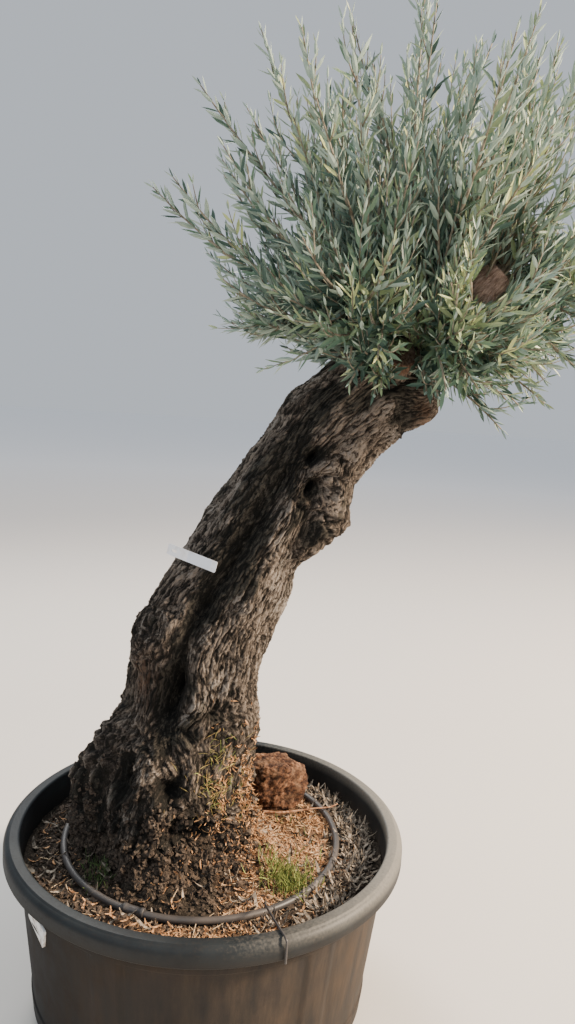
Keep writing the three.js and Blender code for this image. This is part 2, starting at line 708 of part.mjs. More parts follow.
// A tip that would leave the mass's own space is pulled in towards the middle of it
function shootTip(mass, share, turn, distance) {
  const { side, top } = crossVectors(mass.direction);
  let spread = Math.tan(THREE.MathUtils.degToRad(mass.spread)) * Math.sqrt(share);
  for (;;) {
    const heading = mass.direction.clone();
    heading.addScaledVector(side, spread * Math.cos(turn));
    heading.addScaledVector(top, spread * Math.sin(turn));
    heading.normalize();
    const tip = HUB.clone().addScaledVector(heading, distance * reachShare(heading));
    if (spread < 0.02 || isFree(mass, tip, TIP_ROOM)) return tip;
    spread *= PULL_IN;
  }
}

// A mass's shoots fill its space as seeds fill a sunflower: the first carries the stem on
function massShoots(mass, stem, random) {
  const shoots = [];
  const firstTurn = random() * 2 * Math.PI;
  for (let index = 0; index < mass.shoots; index += 1) {
    const share = index / (mass.shoots - 1);
    const turn = firstTurn + index * GOLDEN_ANGLE;
    const distance = (mass.reach - LEAF_LENGTH) * (1 - TIP_SCATTER * share * random());
    const tip = shootTip(mass, share, turn, distance);
    const start = stem.getPoint(1 - SHOOT_ROOTS_SPAN * share);
    const curve = shootCurve(mass, start, tip);
    shoots.push({ curve, length: start.distanceTo(tip), turn });
  }
  return shoots;
}

// A leaf: a thin diamond, folded along its midrib, with its root in the shoot
function leafFrame(shoot, along, turn, lean) {
  const forward = shoot.curve.getTangent(along);
  const { side, top } = crossVectors(forward);
  const outward = side.multiplyScalar(Math.cos(turn)).addScaledVector(top, Math.sin(turn));
  const heading = forward.clone().multiplyScalar(Math.cos(lean)).addScaledVector(outward, Math.sin(lean));
  const across = forward.clone().cross(outward).normalize();
  const normal = heading.clone().cross(across);
  return { root: shoot.curve.getPoint(along), heading, across, normal };
}

function leafCorners(frame, length) {
  const width = LEAF_WIDTH * (length / LEAF_LENGTH);
  const middle = frame.root.clone().addScaledVector(frame.heading, LEAF_WIDEST * length);
  middle.addScaledVector(frame.normal, -LEAF_THICKNESS);
  return {
    root: frame.root,
    tip: frame.root.clone().addScaledVector(frame.heading, length),
    left: middle.clone().addScaledVector(frame.across, -width / 2),
    right: middle.clone().addScaledVector(frame.across, width / 2),
  };
}

function leafGeometry(corners, origin) {
  const geometry = new THREE.TetrahedronGeometry(1);
  const position = geometry.getAttribute('position');
  for (let i = 0; i < position.count; i += 1) {
    const isMidrib = position.getZ(i) > 0;
    const isFirst = position.getX(i) > 0;
    const midribCorner = isFirst ? corners.tip : corners.root;
    const edgeCorner = isFirst ? corners.left : corners.right;
    const corner = (isMidrib ? midribCorner : edgeCorner).clone().sub(origin);
    position.setXYZ(i, corner.x, corner.y, corner.z);
  }
  return geometry;
}

function shootLines(shoot) {
  const points = shoot.curve.getPoints(SHOOT_STEPS);
  return points.slice(1).map((point, index) => new THREE.Line3(points[index], point));
}

function isApart(line, lines) {
  return lines.every((other) => line.distanceSqToLine3(other) > LEAF_ROOM ** 2);
}

// The leaves of a shoot. Each turns on until it is free of the limbs, the other masses and the
// lines already taken, or else it is left out
function shootLeaves(mass, shoot, lines, random) {
  const leaves = [];
  const count = Math.max(Math.round(shoot.length / LEAF_SPACING), 2);
  for (let index = 0; index <= count; index += 1) {
    const isTip = index === count;
    const along = isTip ? TIP_LEAF : THREE.MathUtils.lerp(FIRST_LEAF, LAST_LEAF, index / (count - 1));
    const scatter = 1 + LEAF_ANGLE_SCATTER * (2 * random() - 1);
    const lean = THREE.MathUtils.degToRad(isTip ? TIP_LEAF_ANGLE : LEAF_ANGLE * scatter);
    const length = LEAF_LENGTH * (1 - LEAF_TAPER * along * random());
    for (let attempt = 0; attempt < LEAF_TRIES; attempt += 1) {
      const turn = shoot.turn + (index + attempt) * GOLDEN_ANGLE;
      const corners = leafCorners(leafFrame(shoot, along, turn, lean), length);
      const line = new THREE.Line3(corners.root.clone().lerp(corners.tip, LEAF_CLEAR_FROM), corners.tip);
      const isClear = isTip || isApart(line, lines);
      if (isClear && Object.values(corners).every((corner) => isFree(mass, corner, 0))) {
        leaves.push(corners);
        lines.push(line);
        break;
      }
    }
  }
  return leaves;
}

function makeMass(mass) {
  const random = seededRandom(mass.seed);
  const stem = massStem(mass);
  const origin = stem.getPoint(0);
  const solids = [];
  const addTube = (curve, rings, sides, rootRadius, tipRadius) => {
    const tube = taperedTube(curve, rings, sides, rootRadius, tipRadius);
    tube.translate(-origin.x, -origin.y, -origin.z);
    solids.push(toSolid(tube));
  };
  addTube(stem, 3, STEM_SIDES, STEM_RADIUS, STEM_TIP_RADIUS);
  const shoots = massShoots(mass, stem, random);
  const lines = shoots.flatMap((shoot) => shootLines(shoot));
  for (const shoot of shoots) {
    addTube(shoot.curve, SHOOT_STEPS, SHOOT_SIDES, SHOOT_RADIUS, SHOOT_TIP_RADIUS);
    for (const corners of shootLeaves(mass, shoot, lines, random)) {
      solids.push(toSolid(leafGeometry(corners, origin)));
    }
  }
  return { geometry: toGeometry(joined(solids)), origin };
}

// Label

function makeTag() {
  const outline = new THREE.Shape();
  const halfLength = TAG_LENGTH / 2;
  const halfWidth = TAG_WIDTH / 2;
  outline.moveTo(-halfLength, -halfWidth);
  outline.lineTo(halfLength, -halfWidth);
  outline.lineTo(halfLength, halfWidth);
  outline.lineTo(-halfLength, halfWidth);
  outline.closePath();
  const slot = new THREE.Path();
  const { inset, length, width } = TAG_SLOT;
  slot.absellipse(inset - halfLength, 0, length / 2, width / 2, 0, 2 * Math.PI, true);
  outline.holes.push(slot);
  const settings = { depth: TAG_THICKNESS, bevelEnabled: false, curveSegments: 8 };
  return new THREE.ExtrudeGeometry(outline, settings);
}

// The tag's place and turn: its length runs to the right and down, and its face points outwards
function tagMatrix() {
  const turn = THREE.MathUtils.degToRad(TAG_TURN);
  const tilt = THREE.MathUtils.degToRad(TAG_TILT);
  const normal = new THREE.Vector3(Math.sin(turn), -Math.cos(turn), 0);
  const lengthways = new THREE.Vector3(Math.cos(turn), Math.sin(turn), 0).multiplyScalar(Math.cos(tilt));
  lengthways.z = -Math.sin(tilt);
  const widthways = normal.clone().cross(lengthways);
  return new THREE.Matrix4().makeBasis(lengthways, widthways, normal).setPosition(TAG_PLACE);
}

// How far out the bark comes under the tag
function barkHeightUnder(matrix) {
  const bark = makeTrunk(0).applyMatrix4(matrix.clone().invert());
  const column = new THREE.BoxGeometry(TAG_LENGTH, TAG_WIDTH, TAG_SEARCH_DEPTH);
  return toSolid(bark).intersect(toSolid(column)).boundingBox().max[2];
}

// Finishes

function finish(colour, roughness) {
  return new THREE.MeshStandardMaterial({ color: colour, roughness, metalness: 0 });
}

const tubPlastic = finish(0x4a4c4d, 0.6);
const soilEarth = finish(0x6b4a34, 1);
const hosePlastic = finish(0x3a3d40, 0.55);
const bark = finish(0x5f5347, 0.95);
const burlWood = finish(0x7a5340, 0.95);
const foliage = finish(0x66745a, 0.7);
const label = finish(0xe4e6ea, 0.5);

const olive = new THREE.Group();

function place(name, geometry, material, origin) {
  const mesh = new THREE.Mesh(closedGeometry(geometry), material);
  mesh.name = name;
  if (origin) mesh.position.copy(origin);
  olive.add(mesh);
  return mesh;
}

place('tub', makeTub(), tubPlastic);
place('soil', makeSoil(), soilEarth);
place('drip_ring', makeDripRing(), hosePlastic);
place('feed_tube', makeFeedTube(), hosePlastic);
place('trunk', makeTrunk(0), bark);
place('basal_burl', makeBasalBurl(), burlWood);
for (const limb of makeBoughs()) place(limb.name, limb.geometry, bark);
for (const mass of masses) {
  const made = makeMass(mass);
  place(`foliage_${mass.name}`, made.geometry, foliage, made.origin);
}

const tagPlacing = tagMatrix();
const tag = place('tag', makeTag(), label);
tag.applyMatrix4(tagPlacing);
tag.translateZ(barkHeightUnder(tagPlacing) + SEAT);

export default olive;
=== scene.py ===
# %% [markdown]
# An old olive, cut back hard, grows in a round nursery tub about a metre across. Its trunk leans to
# the right, full of burls and furrows, and a fountain of young shoots springs from the head. The
# measured solids come first, as a frame. Every piece below is made in the same place and at the same
# size, in metres, with the origin under the middle of the tub, X to the right and Z up.

# %% Load the measured solids
import itertools
import math

import bpy
import numpy as np
from mathutils import Matrix, Vector


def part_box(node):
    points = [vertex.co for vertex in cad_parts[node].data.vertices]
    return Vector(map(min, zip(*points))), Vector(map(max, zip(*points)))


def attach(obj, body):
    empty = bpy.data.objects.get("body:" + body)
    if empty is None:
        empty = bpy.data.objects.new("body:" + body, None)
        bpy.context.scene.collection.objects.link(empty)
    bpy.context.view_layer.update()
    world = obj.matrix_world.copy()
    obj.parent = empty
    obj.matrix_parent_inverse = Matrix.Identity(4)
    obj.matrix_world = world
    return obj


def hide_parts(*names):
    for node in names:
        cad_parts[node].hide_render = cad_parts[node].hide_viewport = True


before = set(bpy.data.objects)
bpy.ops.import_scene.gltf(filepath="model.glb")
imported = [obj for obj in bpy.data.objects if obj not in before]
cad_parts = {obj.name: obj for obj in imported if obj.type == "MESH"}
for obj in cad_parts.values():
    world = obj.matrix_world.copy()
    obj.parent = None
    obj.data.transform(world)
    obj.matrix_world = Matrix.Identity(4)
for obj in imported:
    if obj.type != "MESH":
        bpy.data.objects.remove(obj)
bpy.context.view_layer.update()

# %% [markdown]
# The camera stands at eye height, a little less than two metres in front of the tub's middle, and
# looks slightly down with a small roll. The lens takes in a tall frame, so the tub's foot and the
# right of the foliage run out of it.

# %% Camera
IMAGE_HEIGHT = 1024
FOCAL_PIXELS = 800
SENSOR = 0.036
CAMERA_PLACE = Vector((0.1582, -1.9475, 1.5655))
CAMERA_DOWN = math.radians(8.233)
CAMERA_ROLL = math.radians(3.511)

camera_data = bpy.data.cameras.new("camera")
camera_data.sensor_width = SENSOR * 1000
camera_data.lens = camera_data.sensor_width * FOCAL_PIXELS / IMAGE_HEIGHT
camera = bpy.data.objects.new("camera", camera_data)
bpy.context.scene.collection.objects.link(camera)
camera.matrix_world = (
    Matrix.Translation(CAMERA_PLACE)
    @ Matrix.Rotation(math.pi / 2 - CAMERA_DOWN, 4, "X")
    @ Matrix.Rotation(CAMERA_ROLL, 4, "Z")
)
bpy.context.scene.camera = camera
print("lens:", round(camera_data.lens, 3), "mm")

# %% [markdown]
# Four short helpers serve every piece. One makes a mesh from arrays of points and faces, one wraps
# faces round rings of points, and one closes both ends of such a stack. The last hands the finished
# piece to the frame: what it rides on, which finish it takes, and which measured solids it stands for.

# %% Mesh helpers
def mesh_piece(name, points, faces, smooth=True):
    mesh = bpy.data.meshes.new(name)
    faces = faces.tolist() if isinstance(faces, np.ndarray) else faces
    mesh.from_pydata(np.asarray(points).tolist(), [], faces, shade_flat=not smooth)
    mesh.update()
    thing = bpy.data.objects.new(name, mesh)
    bpy.context.scene.collection.objects.link(thing)
    return thing


def wrapped(rings, sides, closed=False):
    """Four-sided faces round a stack of rings. A closed stack joins its last ring to its first."""
    ring = np.arange(rings if closed else rings - 1)[:, None] * sides
    side = np.arange(sides)[None, :]
    here, after = ring + side, ring + (side + 1) % sides
    faces = np.stack([here, after, after + sides, here + sides], -1)
    return faces.reshape(-1, 4) % (rings * sides)


def capped(points, sides):
    """Points and faces of a stack of rings, closed at both ends with a fan of three-sided faces."""
    foot, head = points[:sides].mean(0), points[-sides:].mean(0)
    foot_index, head_index, last = len(points), len(points) + 1, len(points) - sides
    side = np.arange(sides)
    after = (side + 1) % sides
    below = [(foot_index, b, a) for a, b in zip(side, after)]
    above = [(head_index, last + a, last + b) for a, b in zip(side, after)]
    walls = wrapped(len(points) // sides, sides).tolist()
    return np.vstack([points, foot, head]), [*walls, *below, *above]


def hand_over(thing, materials, replaces=()):
    for material in materials:
        thing.data.materials.append(material)
    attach(thing, "root")
    if replaces:
        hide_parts(*replaces)
    triangles = sum(len(face.vertices) - 2 for face in thing.data.polygons)
    print(f"{thing.name}: {triangles} triangles")


print("faces round three rings of four points:", len(wrapped(3, 4)))

# %% [markdown]
# Bark, soil and burls all need rough shapes that never repeat. Noise on a lattice gives each point in
# space a smooth random height, and layers of it at rising scales give the detail. Cells, built round
# scattered seeds, give plates with cracks between them. Numpy works them out for a whole mesh at once.

# %% Noise in arrays
LATTICE = np.random.default_rng(7).permutation(256)
SLOPES = np.random.default_rng(8).normal(size=(256, 3))
SLOPES /= np.linalg.norm(SLOPES, axis=1)[:, None]
CELL_SEEDS = np.random.default_rng(9).random((256, 3))


def lattice_key(cell):
    x, y, z = (cell & 255).T
    return LATTICE[(LATTICE[(LATTICE[x] + y) & 255] + z) & 255]


def noise(points):
    """Smooth noise, about -1 to 1."""
    cell = np.floor(points).astype(int)
    inside = points - cell
    ease = inside**3 * (inside * (inside * 6 - 15) + 10)
    total = np.zeros(len(points))
    for corner in itertools.product((0, 1), repeat=3):
        offset = np.array(corner)
        share = np.where(offset == 1, ease, 1 - ease).prod(1)
        total += share * ((inside - offset) * SLOPES[lattice_key(cell + offset)]).sum(1)
    return total * 1.6


def layered(points, octaves=4, fade=0.5):
    total, strength = np.zeros(len(points)), 1.0
    for octave in range(octaves):
        total += strength * noise(points * 2**octave + 17.3 * octave)
        strength *= fade
    return total


def crack_depth(points):
    """Cells round scattered seeds: 0 on the crack between two cells, rising inside a cell."""
    cell = np.floor(points).astype(int)
    first = np.full(len(points), 9.0)
    second = first.copy()
    for step in itertools.product((-1, 0, 1), repeat=3):
        near = cell + np.array(step)
        distance = np.linalg.norm(near + CELL_SEEDS[lattice_key(near)] - points, axis=1)
        second = np.minimum(second, np.maximum(first, distance))
        first = np.minimum(first, distance)
    return second - first


def smooth_step(low, high, value):
    share = np.clip((value - low) / (high - low), 0, 1)
    return share * share * (3 - 2 * share)


def hill(offset, size):
    return np.exp(-((offset / size) ** 2))


sample = np.array([[0.3, 0.1, 0.7], [2.2, 5.1, 0.4], [9.9, 3.3, 1.2]])
print("noise at three points:", noise(sample).round(3))

# %% [markdown]
# Finishes are node trees on each material. These helpers add one node at a time and wire it up, so
# that each finish below reads as a short recipe. Patterns follow the piece's own Object coordinates,
# or a vector stored on its points where the pattern has to run with the grain.

# %% Finish helpers
def new_finish(name, colour, roughness, specular=0.5):
    material = bpy.data.materials.new(name)
    material.use_nodes = True
    shader = shader_of(material)
    shader.inputs["Base Color"].default_value = (*colour, 1)
    shader.inputs["Roughness"].default_value = roughness
    shader.inputs["Specular IOR Level"].default_value = specular
    return material


def shader_of(material):
    return material.node_tree.nodes["Principled BSDF"]


def add_node(owner, kind, inputs=(), **settings):
    """A node in a finish or a tree. Each input takes a plain value or another node's output."""
    tree = getattr(owner, "node_tree", owner)
    node = tree.nodes.new(kind)
    for key, value in settings.items():
        setattr(node, key, value)
    for key, value in dict(inputs).items():
        if isinstance(value, bpy.types.NodeSocket):
            tree.links.new(value, node.inputs[key])
        else:
            node.inputs[key].default_value = value
    return node


def object_place(material):
    return add_node(material, "ShaderNodeTexCoord").outputs["Object"]


def grain(material, place, scale, detail=5, roughness=0.6):
    inputs = {"Vector": place, "Scale": scale, "Detail": detail, "Roughness": roughness}
    return add_node(material, "ShaderNodeTexNoise", inputs).outputs["Fac"]


def stretched(material, place, scales):
    return add_node(material, "ShaderNodeMapping", {"Vector": place, "Scale": scales}).outputs["Vector"]


def drawn_grain(material, place, scales, detail=5, roughness=0.6):
    """Grain with a scale of its own along each axis, so that it can be drawn out."""
    return grain(material, stretched(material, place, scales), 1, detail, roughness)


def remap(material, value, low, high, to_low=0.0, to_high=1.0):
    inputs = {"Value": value, "From Min": low, "From Max": high, "To Min": to_low, "To Max": to_high}
    return add_node(material, "ShaderNodeMapRange", inputs).outputs["Result"]


def combine(owner, operation, first, second):
    return add_node(owner, "ShaderNodeMath", {0: first, 1: second}, operation=operation).outputs["Value"]


def weighed(material, base, *terms):
    """A base value with others added to it, each times its own weight."""
    for value, weight in terms:
        inputs = {0: value, 1: weight, 2: base}
        base = add_node(material, "ShaderNodeMath", inputs, operation="MULTIPLY_ADD").outputs["Value"]
    return base


def colours(material, value, stops):
    node = add_node(material, "ShaderNodeValToRGB", {"Fac": value})
    ramp = node.color_ramp
    while len(ramp.elements) < len(stops):
        ramp.elements.new(0.5)
    for element, (position, colour) in zip(ramp.elements, stops):
        element.position = position
        element.color = (*colour, 1)
    return node.outputs["Color"]


def mixed(material, factor, first, second):
    """Two colours, plain or from other nodes, mixed by a factor."""
    inputs = {key: (*value, 1) if isinstance(value, tuple) else value
              for key, value in ((0, factor), (6, first), (7, second))}
    return add_node(material, "ShaderNodeMix", inputs, data_type="RGBA").outputs[2]


def stored(material, name, output="Fac"):
    return add_node(material, "ShaderNodeAttribute", attribute_name=name).outputs[output]


def axis_of(material, place, axis):
    return add_node(material, "ShaderNodeSeparateXYZ", {"Vector": place}).outputs[axis]


def patchwork(material, place, scale):
    """One value, 0 to 1, for each cell round scattered seeds."""
    cells = add_node(material, "ShaderNodeTexVoronoi", {"Vector": place, "Scale": scale})
    return axis_of(material, cells.outputs["Color"], "X")


def wire(material, socket, value):
    material.node_tree.links.new(value, shader_of(material).inputs[socket])


def emboss(material, height, strength, distance):
    inputs = {"Height": height, "Strength": strength, "Distance": distance}
    wire(material, "Normal", add_node(material, "ShaderNodeBump", inputs).outputs["Normal"])


def store(thing, name, values):
    """Keeps one number, or one vector, on each point of a mesh, for its finish to read."""
    kind, field = ("FLOAT", "value") if values.ndim == 1 else ("FLOAT_VECTOR", "vector")
    attribute = thing.data.attributes.new(name, kind, "POINT")
    attribute.data.foreach_set(field, np.ascontiguousarray(values, np.float32).ravel())


print("finish helpers ready")

# %% [markdown]
# Studio light: one warm lamp shines from the right, as a low sun would, a wide cool one fills the
# left, and a third picks the leaves out from behind. A lamp with some width gives the soft-edged
# shadows that let bark relief show. The floor's paint grows paler with distance, as painted light
# where the lamps reach less, which brings it closer to the backdrop's tone.

# %% Light and floor
LOOK_AT = (0.1, 0, 1.2)
# Name, place, width, watts, colour
LAMPS = [
    ("key", (7.2, -0.9, 5.2), 1.7, 2750, (1, 0.79, 0.585)),
    ("fill", (-2.2, -3.8, 3.6), 3.2, 55, (0.88, 0.94, 1)),
    ("back", (-1.6, 3.2, 4.6), 2.2, 230, (1, 0.97, 0.92)),
]
BACKDROP, BACKDROP_STRENGTH = (0.78, 0.84, 0.92, 1), 0.72
FLOOR_REACH, FLOOR_LEVEL, PAINT_NEAR, PAINT_FAR = 45, -0.002, 2, 14
NEAR_PAINT, FAR_PAINT = (0.62, 0.60, 0.57), (0.97, 0.98, 1.0)

for name, place, width, watts, colour in LAMPS:
    lamp = bpy.data.lights.new(name, "AREA")
    lamp.shape = "DISK"
    lamp.size, lamp.energy, lamp.color = width, watts, colour
    stand = bpy.data.objects.new(name, lamp)
    bpy.context.scene.collection.objects.link(stand)
    stand.location = place
    stand.rotation_euler = (Vector(LOOK_AT) - Vector(place)).to_track_quat("-Z", "Y").to_euler()

world = bpy.data.worlds.new("studio")
world.use_nodes = True
sky = world.node_tree.nodes["Background"]
sky.inputs["Color"].default_value = BACKDROP
sky.inputs["Strength"].default_value = BACKDROP_STRENGTH
bpy.context.scene.world = world


def floor_paint():
    m = new_finish("floor_paint", NEAR_PAINT, 0.9)
    # Painted light: paler paint farther out, where the lamps give less light.
    length = add_node(m, "ShaderNodeVectorMath", {0: object_place(m)}, operation="LENGTH")
    how_far = remap(m, length.outputs["Value"], PAINT_NEAR, PAINT_FAR)
    wire(m, "Base Color", mixed(m, how_far, NEAR_PAINT, FAR_PAINT))
    return m


floor_corners = np.array([(-1, -1, 0), (1, -1, 0), (1, 1, 0), (-1, 1, 0)]) * FLOOR_REACH
floor = mesh_piece("floor", floor_corners + (0, 0, FLOOR_LEVEL), [(0, 1, 2, 3)], smooth=False)
floor.data.materials.append(floor_paint())
print("lamps:", len(bpy.data.lights))

# %% [markdown]
# The tub is moulded plastic: a thin tapered wall with six sunk panels, and a wide rolled rim whose
# skirt hangs over the wall. A panel is a place where the wall's radius is a little smaller, with a
# soft edge.

# %% Tub sizes
TUB_HEIGHT, SKIRT_BOTTOM, SKIRT_ROOT = 0.470, 0.424, 0.458
RIM_INNER, RIM_CREST, RIM_OUTER = 0.465, 0.488, 0.504
WALL_FOOT, WALL_TOP, WALL_THICKNESS, CORNER = 0.429, 0.472, 0.006, 0.040
PANEL_LOW, PANEL_HIGH, PANEL_DEPTH, PANEL_EDGE = 0.075, 0.385, 0.004, 0.004
PANEL_PITCH, FIRST_RIB, RIB_HALF = math.radians(60), math.radians(-51), math.radians(4)
SOIL_LEVEL = 0.405


def wall_radius(z):
    return WALL_FOOT + (z - CORNER) * (WALL_TOP - WALL_FOOT) / (SKIRT_BOTTOM - CORNER)


def arc(centre, radius, start, end, steps):
    turn = np.radians(np.linspace(start, end, steps))
    return [(centre[0] + radius * math.cos(a), centre[1] + radius * math.sin(a)) for a in turn]


def panel_share(angle, z):
    """1 on a sunk panel, 0 on the ribs and bands between them."""
    from_rib = (angle - FIRST_RIB + PANEL_PITCH / 2) % PANEL_PITCH - PANEL_PITCH / 2
    across = (np.abs(from_rib) - RIB_HALF) * WALL_FOOT
    up = np.minimum(z - PANEL_LOW, PANEL_HIGH - z)
    return smooth_step(0, PANEL_EDGE, across) * smooth_step(0, PANEL_EDGE, up)


print("wall radius at mid height:", round(wall_radius(TUB_HEIGHT / 2), 4))

# %% [markdown]
# A tub like this could be built up from cylinders, but one profile turned round the axis gives wall,
# rim and floor together, and closed. It runs up the outside, over the rim and down the inside. Its
# points stand closer together at the edges of the panels, where the surface bends.

# %% Tub mesh
TUB_SIDES, CORNER_STEPS, WALL_STEPS, EDGE_STEPS = 360, 9, 34, 5
LIP_ROUND, ROLL_ROUND, CREST_ROUND = 0.0035, 0.018, 0.006
FLOOR_TOP, FLOOR_INSET, CENTRE = 0.012, 0.028, 0.001

corner_centre = (wall_radius(CORNER) - CORNER, CORNER)
wall_levels = np.linspace(CORNER, SKIRT_ROOT, WALL_STEPS)
low_edge = np.linspace(PANEL_LOW - 0.001, PANEL_LOW + 0.005, EDGE_STEPS)
high_edge = np.linspace(PANEL_HIGH - 0.005, PANEL_HIGH + 0.001, EDGE_STEPS)
outer_wall = [(wall_radius(z), z) for z in sorted({*wall_levels, *low_edge, *high_edge})]
rim = [
    (0.492, SKIRT_ROOT),
    (RIM_OUTER - 0.009, SKIRT_BOTTOM + 0.003),
    *arc((RIM_OUTER - LIP_ROUND, SKIRT_BOTTOM + LIP_ROUND), LIP_ROUND, 200, 360, 7),
    *arc((RIM_OUTER - ROLL_ROUND, TUB_HEIGHT - 0.020), ROLL_ROUND, 0, 70, 10),
    *arc((RIM_CREST, TUB_HEIGHT - CREST_ROUND), CREST_ROUND, 70, 90, 3),
    *arc((RIM_INNER + CREST_ROUND, TUB_HEIGHT - CREST_ROUND), CREST_ROUND, 90, 180, 6),
]
inner_foot = wall_radius(CORNER) - WALL_THICKNESS
inside = [(inner_foot, CORNER), (inner_foot - FLOOR_INSET, FLOOR_TOP), (CENTRE, FLOOR_TOP)]
underside = [(CENTRE, 0), *arc(corner_centre, CORNER, -90, 0, CORNER_STEPS)]
profile = np.array([*underside, *outer_wall[1:], *rim, *inside])

turn = np.linspace(0, 2 * math.pi, TUB_SIDES, endpoint=False)
radius, level = profile[:, 0][:, None], profile[:, 1][:, None] + 0 * turn
is_wall = (np.arange(len(profile)) < CORNER_STEPS + len(outer_wall))[:, None]
radius = radius - PANEL_DEPTH * is_wall * panel_share(turn[None, :], level)
tub_points = np.stack([radius * np.cos(turn), radius * np.sin(turn), level], -1).reshape(-1, 3)
tub = mesh_piece("tub_wall", *capped(tub_points, TUB_SIDES))
print("profile points:", len(profile))

# %% [markdown]
# Weathered plastic: charcoal underneath, with pale dust and painted sunlight on the right of the rim,
# and coated with brown dust on the wall. The dust carries painted light: a darker brown on the left
# and a paler one on the right. It is thin right under the skirt, where a band of painted shade darkens
# the wall, and has faint runs where water took it along.

# %% Tub finish
def tub_plastic():
    m = new_finish("tub_plastic", (0.05, 0.05, 0.05), 0.6, 0.22)
    place = object_place(m)
    to_right, level = axis_of(m, place, "X"), axis_of(m, place, "Z")
    blotch, speck = grain(m, place, 9, 6), grain(m, place, 160, 3)
    runs = drawn_grain(m, place, (26, 26, 3), 5, 0.7)
    bare = colours(m, blotch, [(0.3, (0.007, 0.009, 0.011)), (0.7, (0.020, 0.025, 0.028))])
    # Painted light: the dust is a darker brown on the left, as shade, and a paler one on the right, as
    # light.
    shaded = colours(m, runs, [(0.3, (0.012, 0.009, 0.007)), (0.7, (0.026, 0.019, 0.014))])
    lit = colours(m, runs, [(0.3, (0.024, 0.017, 0.012)), (0.7, (0.066, 0.048, 0.034))])
    dust = mixed(m, remap(m, to_right, -0.30, 0.10), shaded, lit)
    patchy = remap(m, weighed(m, blotch, (runs, 0.5)), 0.55, 0.95, 0.35, 0.95)
    on_wall = combine(m, "MULTIPLY", remap(m, level, 0.44, 0.40), patchy)
    on_rim = combine(m, "MULTIPLY", remap(m, speck, 0.5, 0.75), 0.3)
    cover = combine(m, "MAXIMUM", on_wall, on_rim)
    # Pale dust with painted sunlight: the rim is paler towards the right, where the warm lamp stands.
    pale_dust_and_painted_sun = remap(m, weighed(m, to_right, (speck, 0.3)), 0.25, 0.65, 0, 0.7)
    pale_dust_and_painted_sun = combine(m, "MULTIPLY", pale_dust_and_painted_sun, remap(m, level, 0.44, 0.465))
    coated = mixed(m, pale_dust_and_painted_sun, mixed(m, cover, bare, dust), (0.26, 0.25, 0.22))
    # Painted shade: a band of near black on the wall under the skirt's overhang.
    painted_skirt_shade = combine(m, "MULTIPLY", remap(m, level, 0.43, 0.36, 0.6, 0), remap(m, level, 0.45, 0.42))
    wire(m, "Base Color", mixed(m, painted_skirt_shade, coated, (0.014, 0.013, 0.012)))
    wire(m, "Roughness", remap(m, cover, 0, 1, 0.5, 0.85))
    emboss(m, weighed(m, speck, (blotch, 0.6)), 0.22, 0.001)
    return m


hand_over(tub, [tub_plastic()], ["tub"])

# %% [markdown]
# A blank paper sticker, half weathered off, sits on the wall under the rim. It is a small patch bent
# round the wall, with rounded corners and a little curl at one end.

# %% Sticker on the wall
STICKER_TURN, STICKER_LEVEL, STICKER_TILT = math.radians(-140), 0.352, math.radians(-14)
STICKER_LENGTH, STICKER_WIDTH, STICKER_CORNER, STICKER_PROUD = 0.098, 0.052, 0.006, 0.0006
STICKER_DRAWS = (1, 0.97, 0.66, 0.33, 0.01)
CURL_HEIGHT, CURL_FROM, CURL_TO = 0.006, 0.030, 0.049


def rounded_outline(length, width, corner, steps=5):
    x, y = length / 2 - corner, width / 2 - corner
    centres = [(x, y, 0), (-x, y, 90), (-x, -y, 180), (x, -y, 270)]
    return np.array([p for x, y, a in centres for p in arc((x, y), corner, a, a + 90, steps)])


edge = rounded_outline(STICKER_LENGTH, STICKER_WIDTH, STICKER_CORNER)
flat = np.vstack([edge, *(edge * share for share in STICKER_DRAWS)])
u = flat[:, 0] * math.cos(STICKER_TILT) - flat[:, 1] * math.sin(STICKER_TILT)
v = flat[:, 0] * math.sin(STICKER_TILT) + flat[:, 1] * math.cos(STICKER_TILT) + STICKER_LEVEL
proud = np.full(len(flat), STICKER_PROUD)
proud[: len(edge)] = 0
curl = CURL_HEIGHT * smooth_step(CURL_FROM, CURL_TO, flat[:, 0]) * (proud > 0)
around = STICKER_TURN + u / WALL_TOP
outwards = wall_radius(v) - PANEL_DEPTH * panel_share(around, v) + proud + curl
sticker_points = np.stack([outwards * np.cos(around), outwards * np.sin(around), v], -1)
sticker = mesh_piece("sticker", sticker_points, wrapped(len(STICKER_DRAWS) + 1, len(edge)))


def sticker_paper():
    m = new_finish("sticker_paper", (0.8, 0.8, 0.78), 0.6)
    place = object_place(m)
    worn = remap(m, grain(m, place, 55, 6), 0.5, 0.68)
    wire(m, "Base Color", mixed(m, worn, (0.78, 0.79, 0.78), (0.36, 0.31, 0.26)))
    emboss(m, grain(m, place, 120, 3), 0.2, 0.0006)
    return m


hand_over(sticker, [sticker_paper()])

# %% [markdown]
# The trunk drives everything else, so its shape comes next: a spine of eleven stations with a radius
# at each, smoothed to a curve. Buttresses, strands, a long furrow and a list of burls and hollows are
# added to the radius by their place along and round the trunk, as in the measured solid.

# %% Trunk shape
STATIONS = np.array([
    (-0.100, 0.4053, 0.232), (-0.100, 0.560, 0.226), (-0.066, 0.715, 0.174), (-0.052, 0.860, 0.162),
    (-0.018, 1.010, 0.151), (0.040, 1.130, 0.143), (0.115, 1.270, 0.133), (0.195, 1.405, 0.126),
    (0.275, 1.520, 0.122), (0.365, 1.592, 0.116), (0.462, 1.612, 0.098),
])
TRUNK_DEPTH = 0.94
BUTTRESSES, BUTTRESS_HEIGHT, BUTTRESS_TURN, BUTTRESS_FADE = 5, 0.020, 0.6, 0.22
STRANDS, STRAND_HEIGHT, STRAND_TWIST = 7, 0.005, 2.6
